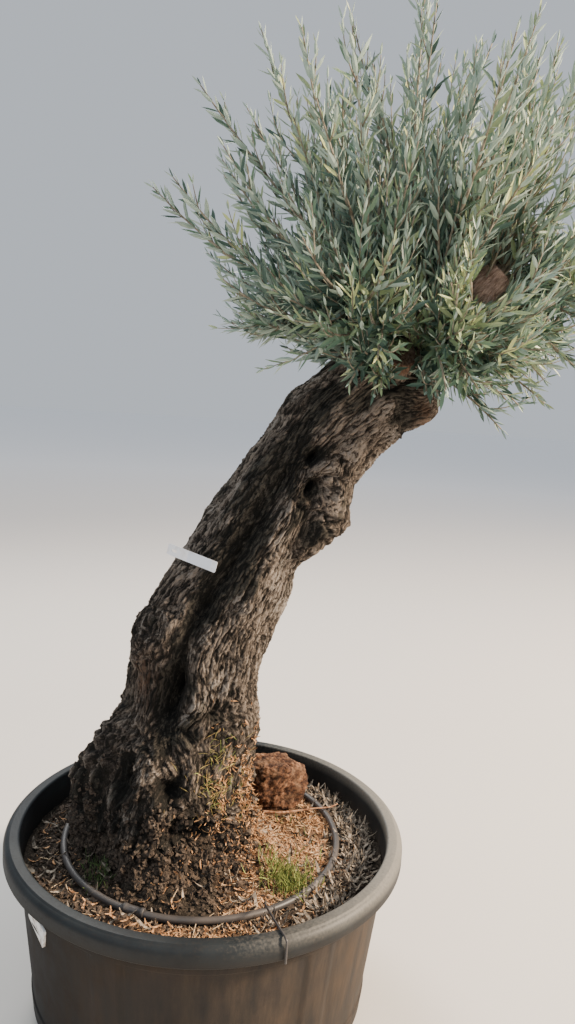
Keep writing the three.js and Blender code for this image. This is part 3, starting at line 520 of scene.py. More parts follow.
# Place along, direction round (0 front, 90 right), size along, size round, height
BURLS = [
    (0.0, 24, 0.05, 32, 0.070), (0.0, -12, 0.04, 22, 0.016),
    (0.09, -92, 0.05, 34, 0.012), (0.135, -60, 0.034, 20, 0.016), (0.138, -34, 0.024, 12, -0.034),
    (0.163, -15, 0.032, 16, 0.026), (0.147, 1, 0.018, 9, -0.036), (0.13, 14, 0.036, 24, 0.026),
    (0.085, 22, 0.022, 22, -0.02), (0.06, -14, 0.026, 20, 0.016), (0.19, -60, 0.04, 30, 0.012),
    (0.225, 44, 0.022, 16, 0.016), (0.24, 80, 0.06, 36, 0.014), (0.288, -17, 0.042, 13, -0.05),
    (0.285, -52, 0.03, 16, -0.014), (0.355, -60, 0.042, 38, 0.034), (0.4, 70, 0.05, 34, 0.008),
    (0.45, -9, 0.04, 12, -0.014), (0.56, 82, 0.035, 40, -0.012), (0.65, 78, 0.05, 42, 0.052),
    (0.677, 21, 0.02, 9, -0.032), (0.69, 42, 0.026, 18, 0.014), (0.72, -2, 0.016, 9, -0.028),
    (0.735, 26, 0.022, 14, 0.012), (0.77, -84, 0.025, 26, 0.014), (0.9, 84, 0.06, 40, 0.006),
    (0.11, 118, 0.034, 18, -0.024), (0.16, 165, 0.06, 34, 0.026), (0.22, 120, 0.04, 26, 0.016),
    (0.28, 178, 0.07, 20, -0.03), (0.36, -136, 0.04, 24, 0.014), (0.45, 140, 0.06, 40, 0.024),
    (0.54, 176, 0.04, 16, -0.02), (0.63, -150, 0.05, 26, 0.016), (0.7, 150, 0.03, 18, -0.022),
    (0.82, 170, 0.05, 30, 0.014),
]
FURROW_DEPTH, FURROW_WIDTH, FURROW_SPAN, FURROW_FADE = 0.027, 13, (0.28, 0.66), 0.05
FURROW_LOW, FURROW_HIGH = -12, -16
HOLLOW_FROM = -0.015


def smooth_along(values, along):
    """A smooth curve through evenly spaced values, along from 0 to 1."""
    values = np.asarray(values, float)
    padded = np.concatenate([[2 * values[0] - values[1]], values, [2 * values[-1] - values[-2]]])
    place = np.clip(along, 0, 1) * (len(values) - 1)
    index = np.minimum(place.astype(int), len(values) - 2)
    t = place - index
    p0, p1, p2, p3 = (padded[index + step] for step in range(4))
    return p1 + 0.5 * t * (p2 - p0 + t * (2 * p0 - 5 * p1 + 4 * p2 - p3 + t * (3 * (p1 - p2) + p3 - p0)))


def spine(along):
    along = np.asarray(along, float)
    x, z = smooth_along(STATIONS[:, 0], along), smooth_along(STATIONS[:, 1], along)
    return np.stack([x, 0 * x, z], -1)


def spine_directions(along):
    """Front, side and forward at each place along the spine."""
    step = 0.01
    forward = spine(np.minimum(along + step, 1)) - spine(np.maximum(along - step, 0))
    forward[along < step] = (0, 0, 1)
    forward /= np.linalg.norm(forward, axis=-1)[..., None]
    front = np.zeros_like(forward) + (0, -1, 0)
    return front, np.cross(forward, front), forward


def turn_between(first, second):
    turn = first - second
    return turn - 2 * math.pi * np.round(turn / (2 * math.pi))


def region(along, around, place, direction, length, width):
    """1 at one place on the trunk, fading out along and round it. Both turns are in degrees."""
    across = hill(turn_between(around, math.radians(direction)), math.radians(width))
    return across * hill(along - place, length)


def furrow(along, around):
    share = (along - FURROW_SPAN[0]) / (FURROW_SPAN[1] - FURROW_SPAN[0])
    centre = np.radians(FURROW_LOW + (FURROW_HIGH - FURROW_LOW) * share)
    past = np.maximum(np.maximum(FURROW_SPAN[0] - along, along - FURROW_SPAN[1]), 0)
    return hill(turn_between(around, centre), math.radians(FURROW_WIDTH)) * hill(past, FURROW_FADE)


def trunk_radius(along, around):
    """The bare trunk's radius, and how deep each point lies in a hollow or the furrow."""
    radius = smooth_along(STATIONS[:, 2], along) * (1 - (1 - TRUNK_DEPTH) * np.cos(around) ** 2)
    buttress = BUTTRESS_HEIGHT * hill(along, BUTTRESS_FADE) * np.cos(BUTTRESSES * around + BUTTRESS_TURN)
    radius = radius + buttress + STRAND_HEIGHT * np.cos(STRANDS * (around + STRAND_TWIST * along))
    hollow = furrow(along, around) * 0.8
    radius = radius - FURROW_DEPTH * furrow(along, around)
    for *where, height in BURLS:
        shape = region(along, around, *where)
        radius = radius + height * shape
        hollow = np.maximum(hollow, shape * (height < HOLLOW_FROM))
    return radius, hollow


foot_radius, _ = trunk_radius(np.zeros(4), np.radians([0, 90, 180, 270]))
print("trunk foot radius front, right, back, left:", foot_radius.round(3))

# %% [markdown]
# Bark is a second layer of relief on that shape. Broad swellings come first, with lumps and knobs that
# crowd at the foot and round the burls. Ropes of wood run with the lean, and plates, fibres and flakes
# of bark lie on them, with cracks between. The finer patterns are drawn out along the trunk, because
# bark splits along the grain as the wood grows.

# %% Trunk relief
TRUNK_RINGS, TRUNK_SIDES = 440, 420
# Places along and round the trunk, with their size along and round, and their depth
DEEP_HOLLOWS = [
    (0.290, -17, 0.026, 8, 0.022), (0.147, 1, 0.011, 6, 0.022), (0.138, -34, 0.014, 8, 0.016),
    (0.677, 21, 0.012, 6, 0.020), (0.720, -2, 0.010, 6, 0.020), (0.520, -13, 0.060, 6, 0.012),
    (0.430, -10, 0.020, 8, 0.012), (0.190, -6, 0.012, 8, 0.012), (0.260, 30, 0.008, 10, 0.012),
]
SWELL_SCALE, SWELL_FOOT, SWELL_UP = (11, 11, 8), 0.0065, 0.0035
LUMP_SCALE, LUMP_HEIGHT = (15, 15, 12), 0.024
KNOB_SCALE, KNOB_HEIGHT, KNOB_FOOT = (27, 27, 22), 0.007, 0.010
ROPE_SCALE, ROPE_HEIGHT = (24, 24, 2.8), 0.0062
STRIP_SCALE, STRIP_HEIGHT = (98, 98, 13), 0.0036
FIBRE_SCALE, FIBRE_HEIGHT = (165, 165, 28), 0.0026
FLAKE_SCALE, FLAKE_HEIGHT = (150, 150, 62), 0.0020
GRAVEL_SCALE, GRAVEL_HEIGHT = 55, 0.0042
# Places along and round the trunk where lumps crowd, with their size along and round
LUMPY = [(0.65, 78, 0.07, 50), (0.35, -60, 0.06, 40), (0.69, 28, 0.06, 44), (0.24, 20, 0.05, 40)]
LUMPY_FOOT, LUMPY_FADE, CRUMBLY_FROM, CRUMBLY_TO = 0.9, 0.24, 0.27, 0.06
WANDER, WANDER_SCALE = 0.055, (16, 16, 9)
WARP_SCALE, TEAR_SCALE, TEAR_SIZE = 7, 40, (0.0036, 0.0036, 0.012)
HEAD_ROUNDING, HEAD_ROUND_FROM = 0.10, 0.955

along_grid = np.linspace(0, 1, TRUNK_RINGS)
round_grid = np.linspace(-math.pi, math.pi, TRUNK_SIDES, endpoint=False)
along, around = (grid.ravel() for grid in np.meshgrid(along_grid, round_grid, indexing="ij"))
straight_radius, _ = trunk_radius(along, around)
spine_steps = np.linalg.norm(np.diff(spine(along_grid), axis=0), axis=1)
run = np.interp(along, along_grid, np.concatenate([[0], np.cumsum(spine_steps)]))
wander_place = np.stack([straight_radius * np.cos(around), straight_radius * np.sin(around), run], -1)
wander = WANDER * layered(wander_place * WANDER_SCALE, 3) * smooth_step(0, 0.06, along)
bare_radius, hollow = trunk_radius(along + 0.25 * wander, around + wander)
for *where, dent in DEEP_HOLLOWS:
    shape = region(along, around + wander, *where)
    bare_radius = bare_radius - dent * shape
    hollow = np.maximum(hollow, shape)

lumpy = LUMPY_FOOT * hill(along, LUMPY_FADE)
for where in LUMPY:
    lumpy = np.maximum(lumpy, region(along, around, *where))
crumbly = smooth_step(CRUMBLY_FROM, CRUMBLY_TO, along)


def strips(points, gap):
    """Long strips with thin cracks between them: 0 in a crack, 1 across a strip."""
    return smooth_step(0.0, gap, np.abs(noise(points)))


grain_place = np.stack([bare_radius * np.cos(around), bare_radius * np.sin(around), run], -1)
warp = np.stack([layered(grain_place * WARP_SCALE + shift, 2) for shift in (3, 40, 77)], -1)
grain_place = grain_place + warp * (0.010 + 0.034 * lumpy[:, None])
tear = np.stack([layered(grain_place * TEAR_SCALE + shift, 2) for shift in (11, 57, 93)], -1)
ragged = grain_place + tear * TEAR_SIZE

swell = layered(grain_place * SWELL_SCALE, 3)
lump = np.minimum(crack_depth(grain_place * LUMP_SCALE + 2), 0.8) ** 0.6
knob = smooth_step(0, 0.6, crack_depth(grain_place * KNOB_SCALE))
rope = layered(grain_place * ROPE_SCALE, 3)
strip, fibre = strips(ragged * STRIP_SCALE, 0.30), strips(ragged * FIBRE_SCALE + 9, 0.34)
flake = smooth_step(0.02, 0.35, crack_depth(ragged * FLAKE_SCALE + 5))
gravel = layered(grain_place * GRAVEL_SCALE, 3)
relief = (SWELL_UP + (SWELL_FOOT - SWELL_UP) * lumpy) * swell
relief = relief + LUMP_HEIGHT * lumpy * (lump - 0.55)
relief = relief + KNOB_HEIGHT * (0.25 + 0.75 * np.maximum(lumpy, hollow * 0.6)) * (knob - 0.6)
relief = relief + KNOB_FOOT * crumbly * (knob - 0.72)
relief = relief + ROPE_HEIGHT * rope * (1 - 0.5 * lumpy)
relief = relief + STRIP_HEIGHT * (strip - 0.7) * (1 - 0.7 * crumbly) + FIBRE_HEIGHT * (fibre - 0.7)
relief = relief + FLAKE_HEIGHT * (flake - 0.7) * (1 + crumbly) + GRAVEL_HEIGHT * crumbly * gravel
relief = relief - HEAD_ROUNDING * bare_radius * smooth_step(HEAD_ROUND_FROM, 1.02, along)
print("relief from", relief.min().round(3), "to", relief.max().round(3), "m")

# %% [markdown]
# The relief goes on along the trunk's own front and side directions. The bark stays just under the
# blank label that lies on it. The head ends in torn wood: a few rings that draw in to a shallow dome.

# %% Trunk points
front, side, forward = spine_directions(along)
outward = front * np.cos(around)[:, None] + side * np.sin(around)[:, None]
trunk_points = spine(along) + outward * (bare_radius + relief)[:, None]
trunk_points[:, 2] = np.maximum(trunk_points[:, 2], STATIONS[0, 2])

TAG_TURN, TAG_TILT = math.radians(-20), math.radians(13)
TAG_LENGTH, TAG_WIDTH, TAG_THICKNESS = 0.132, 0.027, 0.0015
TAG_ROOM, UNDER_TAG, BEHIND_TAG = 0.006, 0.001, 0.08
tag_normal = np.array((math.sin(TAG_TURN), -math.cos(TAG_TURN), 0))
tag_along = np.array((math.cos(TAG_TURN), math.sin(TAG_TURN), 0)) * math.cos(TAG_TILT)
tag_along[2] = -math.sin(TAG_TILT)
tag_across = np.cross(tag_normal, tag_along)
tag_middle = np.mean([tuple(corner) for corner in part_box("tag")], axis=0)

from_tag = trunk_points - tag_middle
is_under = np.abs(from_tag @ tag_along) < TAG_LENGTH / 2 + TAG_ROOM
is_under &= np.abs(from_tag @ tag_across) < TAG_WIDTH / 2 + TAG_ROOM
is_under &= from_tag @ tag_normal > -BEHIND_TAG
too_high = np.maximum(from_tag @ tag_normal + TAG_THICKNESS / 2 + UNDER_TAG, 0) * is_under
trunk_points -= too_high[:, None] * tag_normal

HEAD_DRAWS = (0.98, 0.94, 0.88, 0.80, 0.70, 0.58, 0.44, 0.28, 0.12)
HEAD_BULGE, SPLINTER_SCALE, SPLINTER_HEIGHT = 0.034, (30, 90, 90), 0.007
head, head_flow = trunk_points[-TRUNK_SIDES:], grain_place[-TRUNK_SIDES:]
head_forward, head_centre = forward[-1], head.mean(0)
head_rings, head_flows = [], []
for step, share in enumerate(HEAD_DRAWS):
    ring = head_centre + (head - head_centre) * share
    splinters = layered(ring * SPLINTER_SCALE, 3) * SPLINTER_HEIGHT * (1 - share**4)
    bulge = HEAD_BULGE * (1 - share**4) + 0.002
    head_rings.append(ring + head_forward * (bulge + splinters)[:, None])
    head_flows.append(head_flow * (share, share, 1) + (0, 0, 0.01 * step))
trunk_points = np.vstack([trunk_points, *head_rings])
rings_in_all = TRUNK_RINGS + len(HEAD_DRAWS)
print("trunk rings:", rings_in_all, "points:", len(trunk_points))

# %% [markdown]
# The trunk is kept as two closed pieces, lower and upper, which keeps each file of a fair size. The
# directions the surface faces are worked out on the whole first, so that no line shows between them.
# Depth in a crack, which the finish turns partly into painted shade, dark moss stains mixed with painted
# shade, torn wood, earth and crumbs are stored on the points for the finish.

# %% Trunk pieces
# Places along and round the trunk, with their size along and round, and the strength of the dark
# mark: moss stains, mixed with painted shade in the hollows and along the furrow
MOSS_AND_SHADE_SPOTS = [
    (0.52, -14, 0.10, 14, 1.0), (0.43, -12, 0.05, 16, 1.0), (0.29, -19, 0.06, 16, 1.0),
    (0.61, -26, 0.06, 18, 0.9), (0.69, -14, 0.06, 12, 0.9), (0.75, -30, 0.07, 24, 0.6),
    (0.84, -26, 0.05, 36, 0.5), (0.95, 0, 0.05, 90, 0.95), (0.138, -34, 0.03, 12, 1.0),
    (0.147, 1, 0.02, 9, 1.0), (0.09, 16, 0.03, 26, 0.6), (0.09, -55, 0.05, 20, 0.35),
    (0.06, -25, 0.03, 30, 0.35), (0.72, -2, 0.016, 8, 1.0), (0.677, 22, 0.018, 9, 1.0),
    (0.22, -8, 0.03, 20, 0.6), (0.25, 33, 0.02, 10, 0.6), (0.36, -22, 0.03, 10, 0.7),
    (0.35, 170, 0.12, 60, 0.6), (0.60, 150, 0.10, 50, 0.6), (0.05, 100, 0.06, 50, 0.5),
    (0.635, 26, 0.016, 9, 1.0), (0.62, 48, 0.03, 26, 0.5),
]
# Places along and round the trunk where the bark is pale, with their size along and round
PALE = [(0.69, 32, 0.03, 26), (0.83, 10, 0.07, 40), (0.22, 4, 0.03, 16), (0.17, -12, 0.03, 14)]
grid = trunk_points.reshape(rings_in_all, TRUNK_SIDES, 3)
along_the_trunk = np.gradient(grid, axis=0)
round_the_trunk = np.roll(grid, -1, axis=1) - np.roll(grid, 1, axis=1)
facing = np.cross(round_the_trunk, along_the_trunk)
facing /= np.linalg.norm(facing, axis=-1)[..., None] + 1e-12
is_outwards = (facing[:TRUNK_RINGS].reshape(-1, 3) * outward).sum(1) > 0
print("share of points facing outwards:", is_outwards.mean().round(4))

moss_and_shade = np.zeros(len(along))
for *where, strength in MOSS_AND_SHADE_SPOTS:
    moss_and_shade = np.maximum(moss_and_shade, strength * region(along, around, *where))
# Painted shade: the dark marks are made stronger on the front left, away from the warm lamp.
painted_shade_front_left = 0.10 * hill(turn_between(around, -0.5), 1.2)
moss_and_shade = np.clip(moss_and_shade * 1.1 + painted_shade_front_left + 0.55 * layered(grain_place * (20, 20, 9), 4), 0, 1)
# Depth darkens the bark in cracks, in hollows and between lumps: partly its own dark fissures, partly
# painted shade.
depth = (1 - strip) * 0.75 + (1 - fibre) * 0.40 + (1 - flake) * 0.12
depth = depth + lumpy * np.clip(0.5 - lump, 0, 1) * 1.2
depth = depth + crumbly * (1.0 * (1 - knob) + 0.5 * np.clip(0.4 - gravel, 0, 1) - 0.40)
for where in PALE:
    depth = depth - 0.40 * region(along, around, *where)
depth = np.clip(depth + hollow * 0.55 + np.clip(-rope, 0, 1) * 0.22, -0.5, 1)
ragged_end = along + 0.035 * layered(grain_place * (30, 30, 12), 3)
torn = 0.75 * smooth_step(0.955, 0.985, ragged_end) * hill(turn_between(around, math.radians(75)), 0.9)
scar = hill(along - 0.30, 0.04) * hill(turn_between(around, math.radians(-48)), 0.22)
torn = np.maximum(torn, 0.7 * scar)
earth = smooth_step(0.085, 0.0, along + 0.05 * layered(grain_place * 24, 3))
# Values on the bark, and the one value that each takes on the torn head
bark_values = {"depth": (depth, 0.5), "moss_and_shade": (moss_and_shade, 0.0), "torn": (torn, 0.25),
               "earth": (earth, 0.0), "crumbly": (crumbly, 0.0)}
head_count = len(HEAD_DRAWS) * TRUNK_SIDES
per_point = {key: np.concatenate([values, np.full(head_count, on_head)])
             for key, (values, on_head) in bark_values.items()}
per_point["flow"] = np.vstack([grain_place, *head_flows])


def with_caps(values):
    """Values for the points of a stack of rings, and for the two points that close its ends."""
    return np.concatenate([values, values[:1], values[-1:]])


def trunk_piece(name, first, last):
    rows = slice(first * TRUNK_SIDES, last * TRUNK_SIDES)
    thing = mesh_piece(name, *capped(trunk_points[rows], TRUNK_SIDES))
    normals = np.vstack([facing.reshape(-1, 3)[rows], (0, 0, -1), head_forward])
    thing.data.normals_split_custom_set_from_vertices(normals.tolist())
    for key, values in per_point.items():
        store(thing, key, with_caps(values[rows]))
    return thing


middle_ring = TRUNK_RINGS // 2
lower_trunk = trunk_piece("trunk_lower", 0, middle_ring + 1)
upper_trunk = trunk_piece("trunk_upper", middle_ring, rings_in_all)

# %% [markdown]
# Olive bark is grey-tan on its ridges and nearly black in its cracks, hollows and the furrow: partly its
# own dark bark and moss where water runs, partly painted shade. Fine strokes and a patchwork of flakes
# and plates follow the stored grain. Torn wood is orange-brown, and the foot is dusted with soil. The
# same recipe serves the boughs: their sawn ends only take another colour of wood, paler, with painted
# light in it, since they sit in the shade of the leaves.

# %% Bark finish
CREVICE, DARK_BARK, MIDDLE_BARK = (0.010, 0.009, 0.007), (0.042, 0.034, 0.028), (0.098, 0.081, 0.066)
RIDGE, PALE_RIDGE = (0.200, 0.164, 0.132), (0.230, 0.212, 0.190)


def jumbled(material, place, scale, reach):
    """The place pushed about by noise, so that a pattern on it has ragged edges."""
    rough = add_node(material, "ShaderNodeTexNoise", {"Vector": place, "Scale": scale, "Detail": 4})
    inputs = {0: rough.outputs["Color"], 1: (reach, reach, reach), 2: place}
    return add_node(material, "ShaderNodeVectorMath", inputs, operation="MULTIPLY_ADD").outputs["Vector"]


def bark_finish(name, raw_dark=(0.024, 0.013, 0.009), raw_light=(0.135, 0.072, 0.043)):
    m = new_finish(name, MIDDLE_BARK, 0.92, 0.2)
    flow, deep = stored(m, "flow", "Vector"), stored(m, "depth")
    strokes = drawn_grain(m, flow, (250, 250, 58), 5, 0.72)
    crumbs = grain(m, object_place(m), 190, 5, 0.75)
    strokes = weighed(m, strokes, (combine(m, "SUBTRACT", crumbs, strokes), stored(m, "crumbly")))
    fine = drawn_grain(m, flow, (620, 620, 240), 3, 0.7)
    strands = drawn_grain(m, flow, (60, 60, 12), 4, 0.65)
    patches = drawn_grain(m, flow, (9, 9, 6), 4)
    threads = combine(m, "SUBTRACT", drawn_grain(m, flow, (170, 170, 9), 1, 0.5), 0.5)
    thread = remap(m, combine(m, "ABSOLUTE", threads, 0), 0.035, 0.0)
    flakes = patchwork(m, stretched(m, jumbled(m, flow, 60, 0.010), (150, 150, 48)), 1)
    plates = patchwork(m, stretched(m, jumbled(m, flow, 30, 0.016), (62, 62, 20)), 1)
    # The tone falls with depth: partly the bark's own dark cracks, partly painted shade.
    tone = weighed(m, -0.46, (strokes, 0.80), (fine, 0.50), (flakes, 0.34), (plates, 0.16),
                   (strands, 0.45), (patches, 0.30), (deep, -0.42), (thread, -0.14))
    base = colours(m, tone, [(0.34, CREVICE), (0.52, DARK_BARK), (0.68, MIDDLE_BARK), (0.92, RIDGE)])
    pale = combine(m, "MULTIPLY", remap(m, patches, 0.48, 0.62), remap(m, tone, 0.62, 0.85, 0, 0.8))
    base = mixed(m, pale, base, PALE_RIDGE)
    # Moss stains, mixed with painted shade in the hollows, the furrow and on the front left, turn the bark
    # near black.
    moss_and_shade = weighed(m, -0.8, (stored(m, "moss_and_shade"), 1.0), (strands, 0.9), (strokes, 0.7))
    moss_and_shade_colour = colours(m, tone, [(0.45, (0.006, 0.006, 0.005)), (0.95, (0.055, 0.050, 0.040))])
    base = mixed(m, remap(m, moss_and_shade, 0.30, 0.50, 0, 0.92), base, moss_and_shade_colour)
    wood = colours(m, strokes, [(0.35, raw_dark), (0.65, raw_light)])
    base = mixed(m, combine(m, "MULTIPLY", stored(m, "torn"), remap(m, deep, 0.8, 0.3)), base, wood)
    soiled = colours(m, crumbs, [(0.35, (0.022, 0.016, 0.012)), (0.65, (0.13, 0.095, 0.068))])
    base = mixed(m, combine(m, "MULTIPLY", stored(m, "earth"), 0.85), base, soiled)
    wire(m, "Base Color", base)
    emboss(m, weighed(m, strokes, (fine, 0.4), (flakes, 0.40), (thread, -0.4)), 0.8, 0.0040)
    return m


hand_over(lower_trunk, [bark_finish("bark_lower")], ["trunk"])
hand_over(upper_trunk, [bark_finish("bark_upper")], ["trunk"])

# %% [markdown]
# The burl at the back right of the foot is a lump of reddish wood with a pitted skin, darker in its
# pits and between its lumps, partly its own colour and partly painted shade. It is a sphere flattened at
# both ends, swollen into three lobes, with cells of relief all over.

# %% Basal burl
BURL_X, BURL_Y, BURL_SIZE = 0.162, 0.196, (0.084, 0.072, 0.146)
BURL_LOBE, BURL_WAIST, BURL_FLATNESS, BURL_POLE = 0.10, 0.20, 1.6, 0.996
BURL_SWELL, BURL_LUMP, BURL_PIT = 0.014, 0.0036, 0.0022
BURL_RINGS, BURL_SIDES, RESTING_GAP = 100, 130, 0.0003

climb = np.linspace(-1, 1, BURL_RINGS)[:, None] * BURL_POLE
spin = np.linspace(0, 2 * math.pi, BURL_SIDES, endpoint=False)[None, :]
up = np.sin(climb * math.pi / 2) + 0 * spin
wide = np.cos(climb * math.pi / 2) * (1 + BURL_LOBE * np.sin(3 * spin + 1) * (1 - up**2))
wide = wide * (1 - BURL_WAIST * np.maximum(-up, 0))
tall = (np.tanh(BURL_FLATNESS * up) / math.tanh(BURL_FLATNESS) + 1) * 0.5
burl_points = np.stack([wide * np.cos(spin), wide * np.sin(spin), tall], -1).reshape(-1, 3) * BURL_SIZE
from_middle = burl_points - (0, 0, BURL_SIZE[2] / 2)
outwards = from_middle / np.linalg.norm(from_middle, axis=1)[:, None]
shaken = burl_points * 40 + 0.5 * layered(burl_points * 30, 2)[:, None] + 3
lumps = smooth_step(0, 0.6, crack_depth(shaken)) - 0.6
pits = layered(burl_points * 150, 3)
burl_relief = BURL_SWELL * layered(burl_points * 17, 4) + BURL_LUMP * lumps + BURL_PIT * pits
burl_points = burl_points + outwards * burl_relief[:, None] + (BURL_X, BURL_Y, SOIL_LEVEL)
burl_points[:, 2] = np.maximum(burl_points[:, 2], SOIL_LEVEL + RESTING_GAP)
burl = mesh_piece("basal_burl_wood", *capped(burl_points, BURL_SIDES))
# Depth in pits and between lumps, which the finish darkens partly as painted shade.
store(burl, "depth", np.concatenate([np.clip(0.5 - lumps * 0.8 - pits * 0.35, 0, 1), (0, 0)]))


def burl_finish():
    m = new_finish("burl_wood", (0.3, 0.16, 0.09), 0.9, 0.25)
    place = object_place(m)
    speck, patches = grain(m, place, 130, 5, 0.7), grain(m, place, 22, 4)
    reds = [(0.18, (0.03, 0.014, 0.009)), (0.40, (0.15, 0.072, 0.038)), (0.62, (0.36, 0.20, 0.115))]
    base = colours(m, weighed(m, speck, (stored(m, "depth"), -0.3)), reds)
    wire(m, "Base Color", mixed(m, remap(m, patches, 0.5, 0.7, 0, 0.6), base, (0.25, 0.15, 0.09)))
    emboss(m, combine(m, "ADD", speck, grain(m, place, 330, 3)), 0.8, 0.003)
    return m


hand_over(burl, [burl_finish()], ["basal_burl"])

# %% [markdown]
# The boughs are short: each comes out of the head and was sawn off, so it tapers from a broad root to
# a blunt end. Each starts inside the trunk and heads for the middle of the foliage that it carries,
# along a bent line. The foliage is parted into thirteen masses, each with a heading of its own, and
# all measured from one hub.

# %% Bough shapes
HUB = np.array((0.395, 0, 1.640))
# Name, root along the trunk, reach from the hub, radius at root and tip
BOUGHS = {
    "right": (0.97, 0.325, 0.060, 0.042), "left": (0.84, 0.165, 0.044, 0.030),
    "top": (0.92, 0.175, 0.046, 0.026), "front_left": (0.88, 0.160, 0.040, 0.028),
    "front_right": (0.95, 0.160, 0.040, 0.028), "back_right": (0.95, 0.165, 0.042, 0.029),
    "back_left": (0.88, 0.165, 0.040, 0.028),
}
BOUGH_BEND = 0.45
STUB_ROOT, STUB_TURN, STUB_LENGTH, STUB_LIFT = 0.93, math.radians(-2), 0.168, 0.42
STUB_RADII = (0.036, 0.029)
# Name, bough, heading (0 right, 90 back), rise, reach, spread, whips
MASSES = [
    ("left", "left", 180, 33, 0.77, 28, 12), ("left_high", "left", 178, 64, 0.89, 18, 8),
    ("front_left", "front_left", 237, 27, 0.59, 28, 17),
    ("front_left_high", "front_left", 241, 61, 0.80, 18, 8),
    ("front_right", "front_right", 301, 24, 0.59, 28, 24),
    ("front_right_high", "front_right", 299, 61, 0.82, 18, 12),
    ("right", "right", 2, 29, 0.79, 28, 26), ("right_high", "right", 359, 62, 0.92, 18, 12),
    ("back_right", "back_right", 61, 28, 0.74, 28, 18),
    ("back_right_high", "back_right", 58, 62, 0.88, 18, 9),
    ("back_left", "back_left", 121, 29, 0.74, 28, 12),
    ("back_left_high", "back_left", 119, 62, 0.88, 18, 7),
    ("top", "top", 0, 90, 0.98, 18, 10),
]


def heading_vector(heading, rise):
    heading, rise = math.radians(heading), math.radians(rise)
    level = math.cos(rise)
    return np.array((level * math.cos(heading), level * math.sin(heading), math.sin(rise)))


def unit(vectors):
    return vectors / (np.linalg.norm(vectors, axis=-1, keepdims=True) + 1e-12)


def bent(start, middle, end, share):
    """Points of a curve bent towards its middle point, at each share of the way."""
    share = np.asarray(share, float)[..., None]
    return (1 - share) ** 2 * start + 2 * share * (1 - share) * middle + share**2 * end


mass_heading = {name: heading_vector(heading, rise) for name, _, heading, rise, *_ in MASSES}
bough_heading, bough_path = {}, {}
for name, (root, reach, _, _) in BOUGHS.items():
    direction = unit(sum(mass_heading[mass[0]] for mass in MASSES if mass[1] == name))
    start, tip = spine(root), HUB + direction * reach
    bough_heading[name] = direction
    bough_path[name] = (start, tip - direction * BOUGH_BEND * np.linalg.norm(tip - start), tip)

stub_front, stub_side, _ = (vector[0] for vector in spine_directions(np.array([STUB_ROOT])))
stub_heading = stub_front * math.cos(STUB_TURN) + stub_side * math.sin(STUB_TURN) + (0, 0, STUB_LIFT)
stub_start = spine(STUB_ROOT)
stub_tip = stub_start + unit(stub_heading) * STUB_LENGTH
stub_path = (stub_start, (stub_start + stub_tip) / 2, stub_tip)
print("bough tips:", {name: path[2].round(3).tolist() for name, path in bough_path.items()})

# %% [markdown]
# A plain cone would do for a bough's shape, but the bark finish has to know which way the grain runs.
# So rings are laid along the bent line, with the trunk's kind of relief at a smaller size, and each
# point keeps its place along and round the limb. Bark gives way to bare wood towards the end, and a
# few more rings close the sawn face, a little unevenly.

# %% Bough meshes
BOUGH_RINGS, BOUGH_SIDES, BOUGH_SHIFT, STUB_SHIFT = 70, 56, 1.7, 31.0
BOUGH_CRACKS, CRACK_HEIGHT = (95, 95, 24), 0.0028
BOUGH_LUMPS, BOUGH_ROUGH = (22, 22, 12), 0.006
CUT_DRAWS, CUT_PROUD, CUT_ROUGH = (0.97, 0.85, 0.6, 0.3, 0.06), 0.003, 0.002
# Sawn wood of the boughs: pale wood, painted paler still as painted light, since the ends sit in the shade
# of the leaves.
SAWN_WOOD_PAINTED_LIGHT = (0.26, 0.15, 0.115), (0.68, 0.47, 0.38)


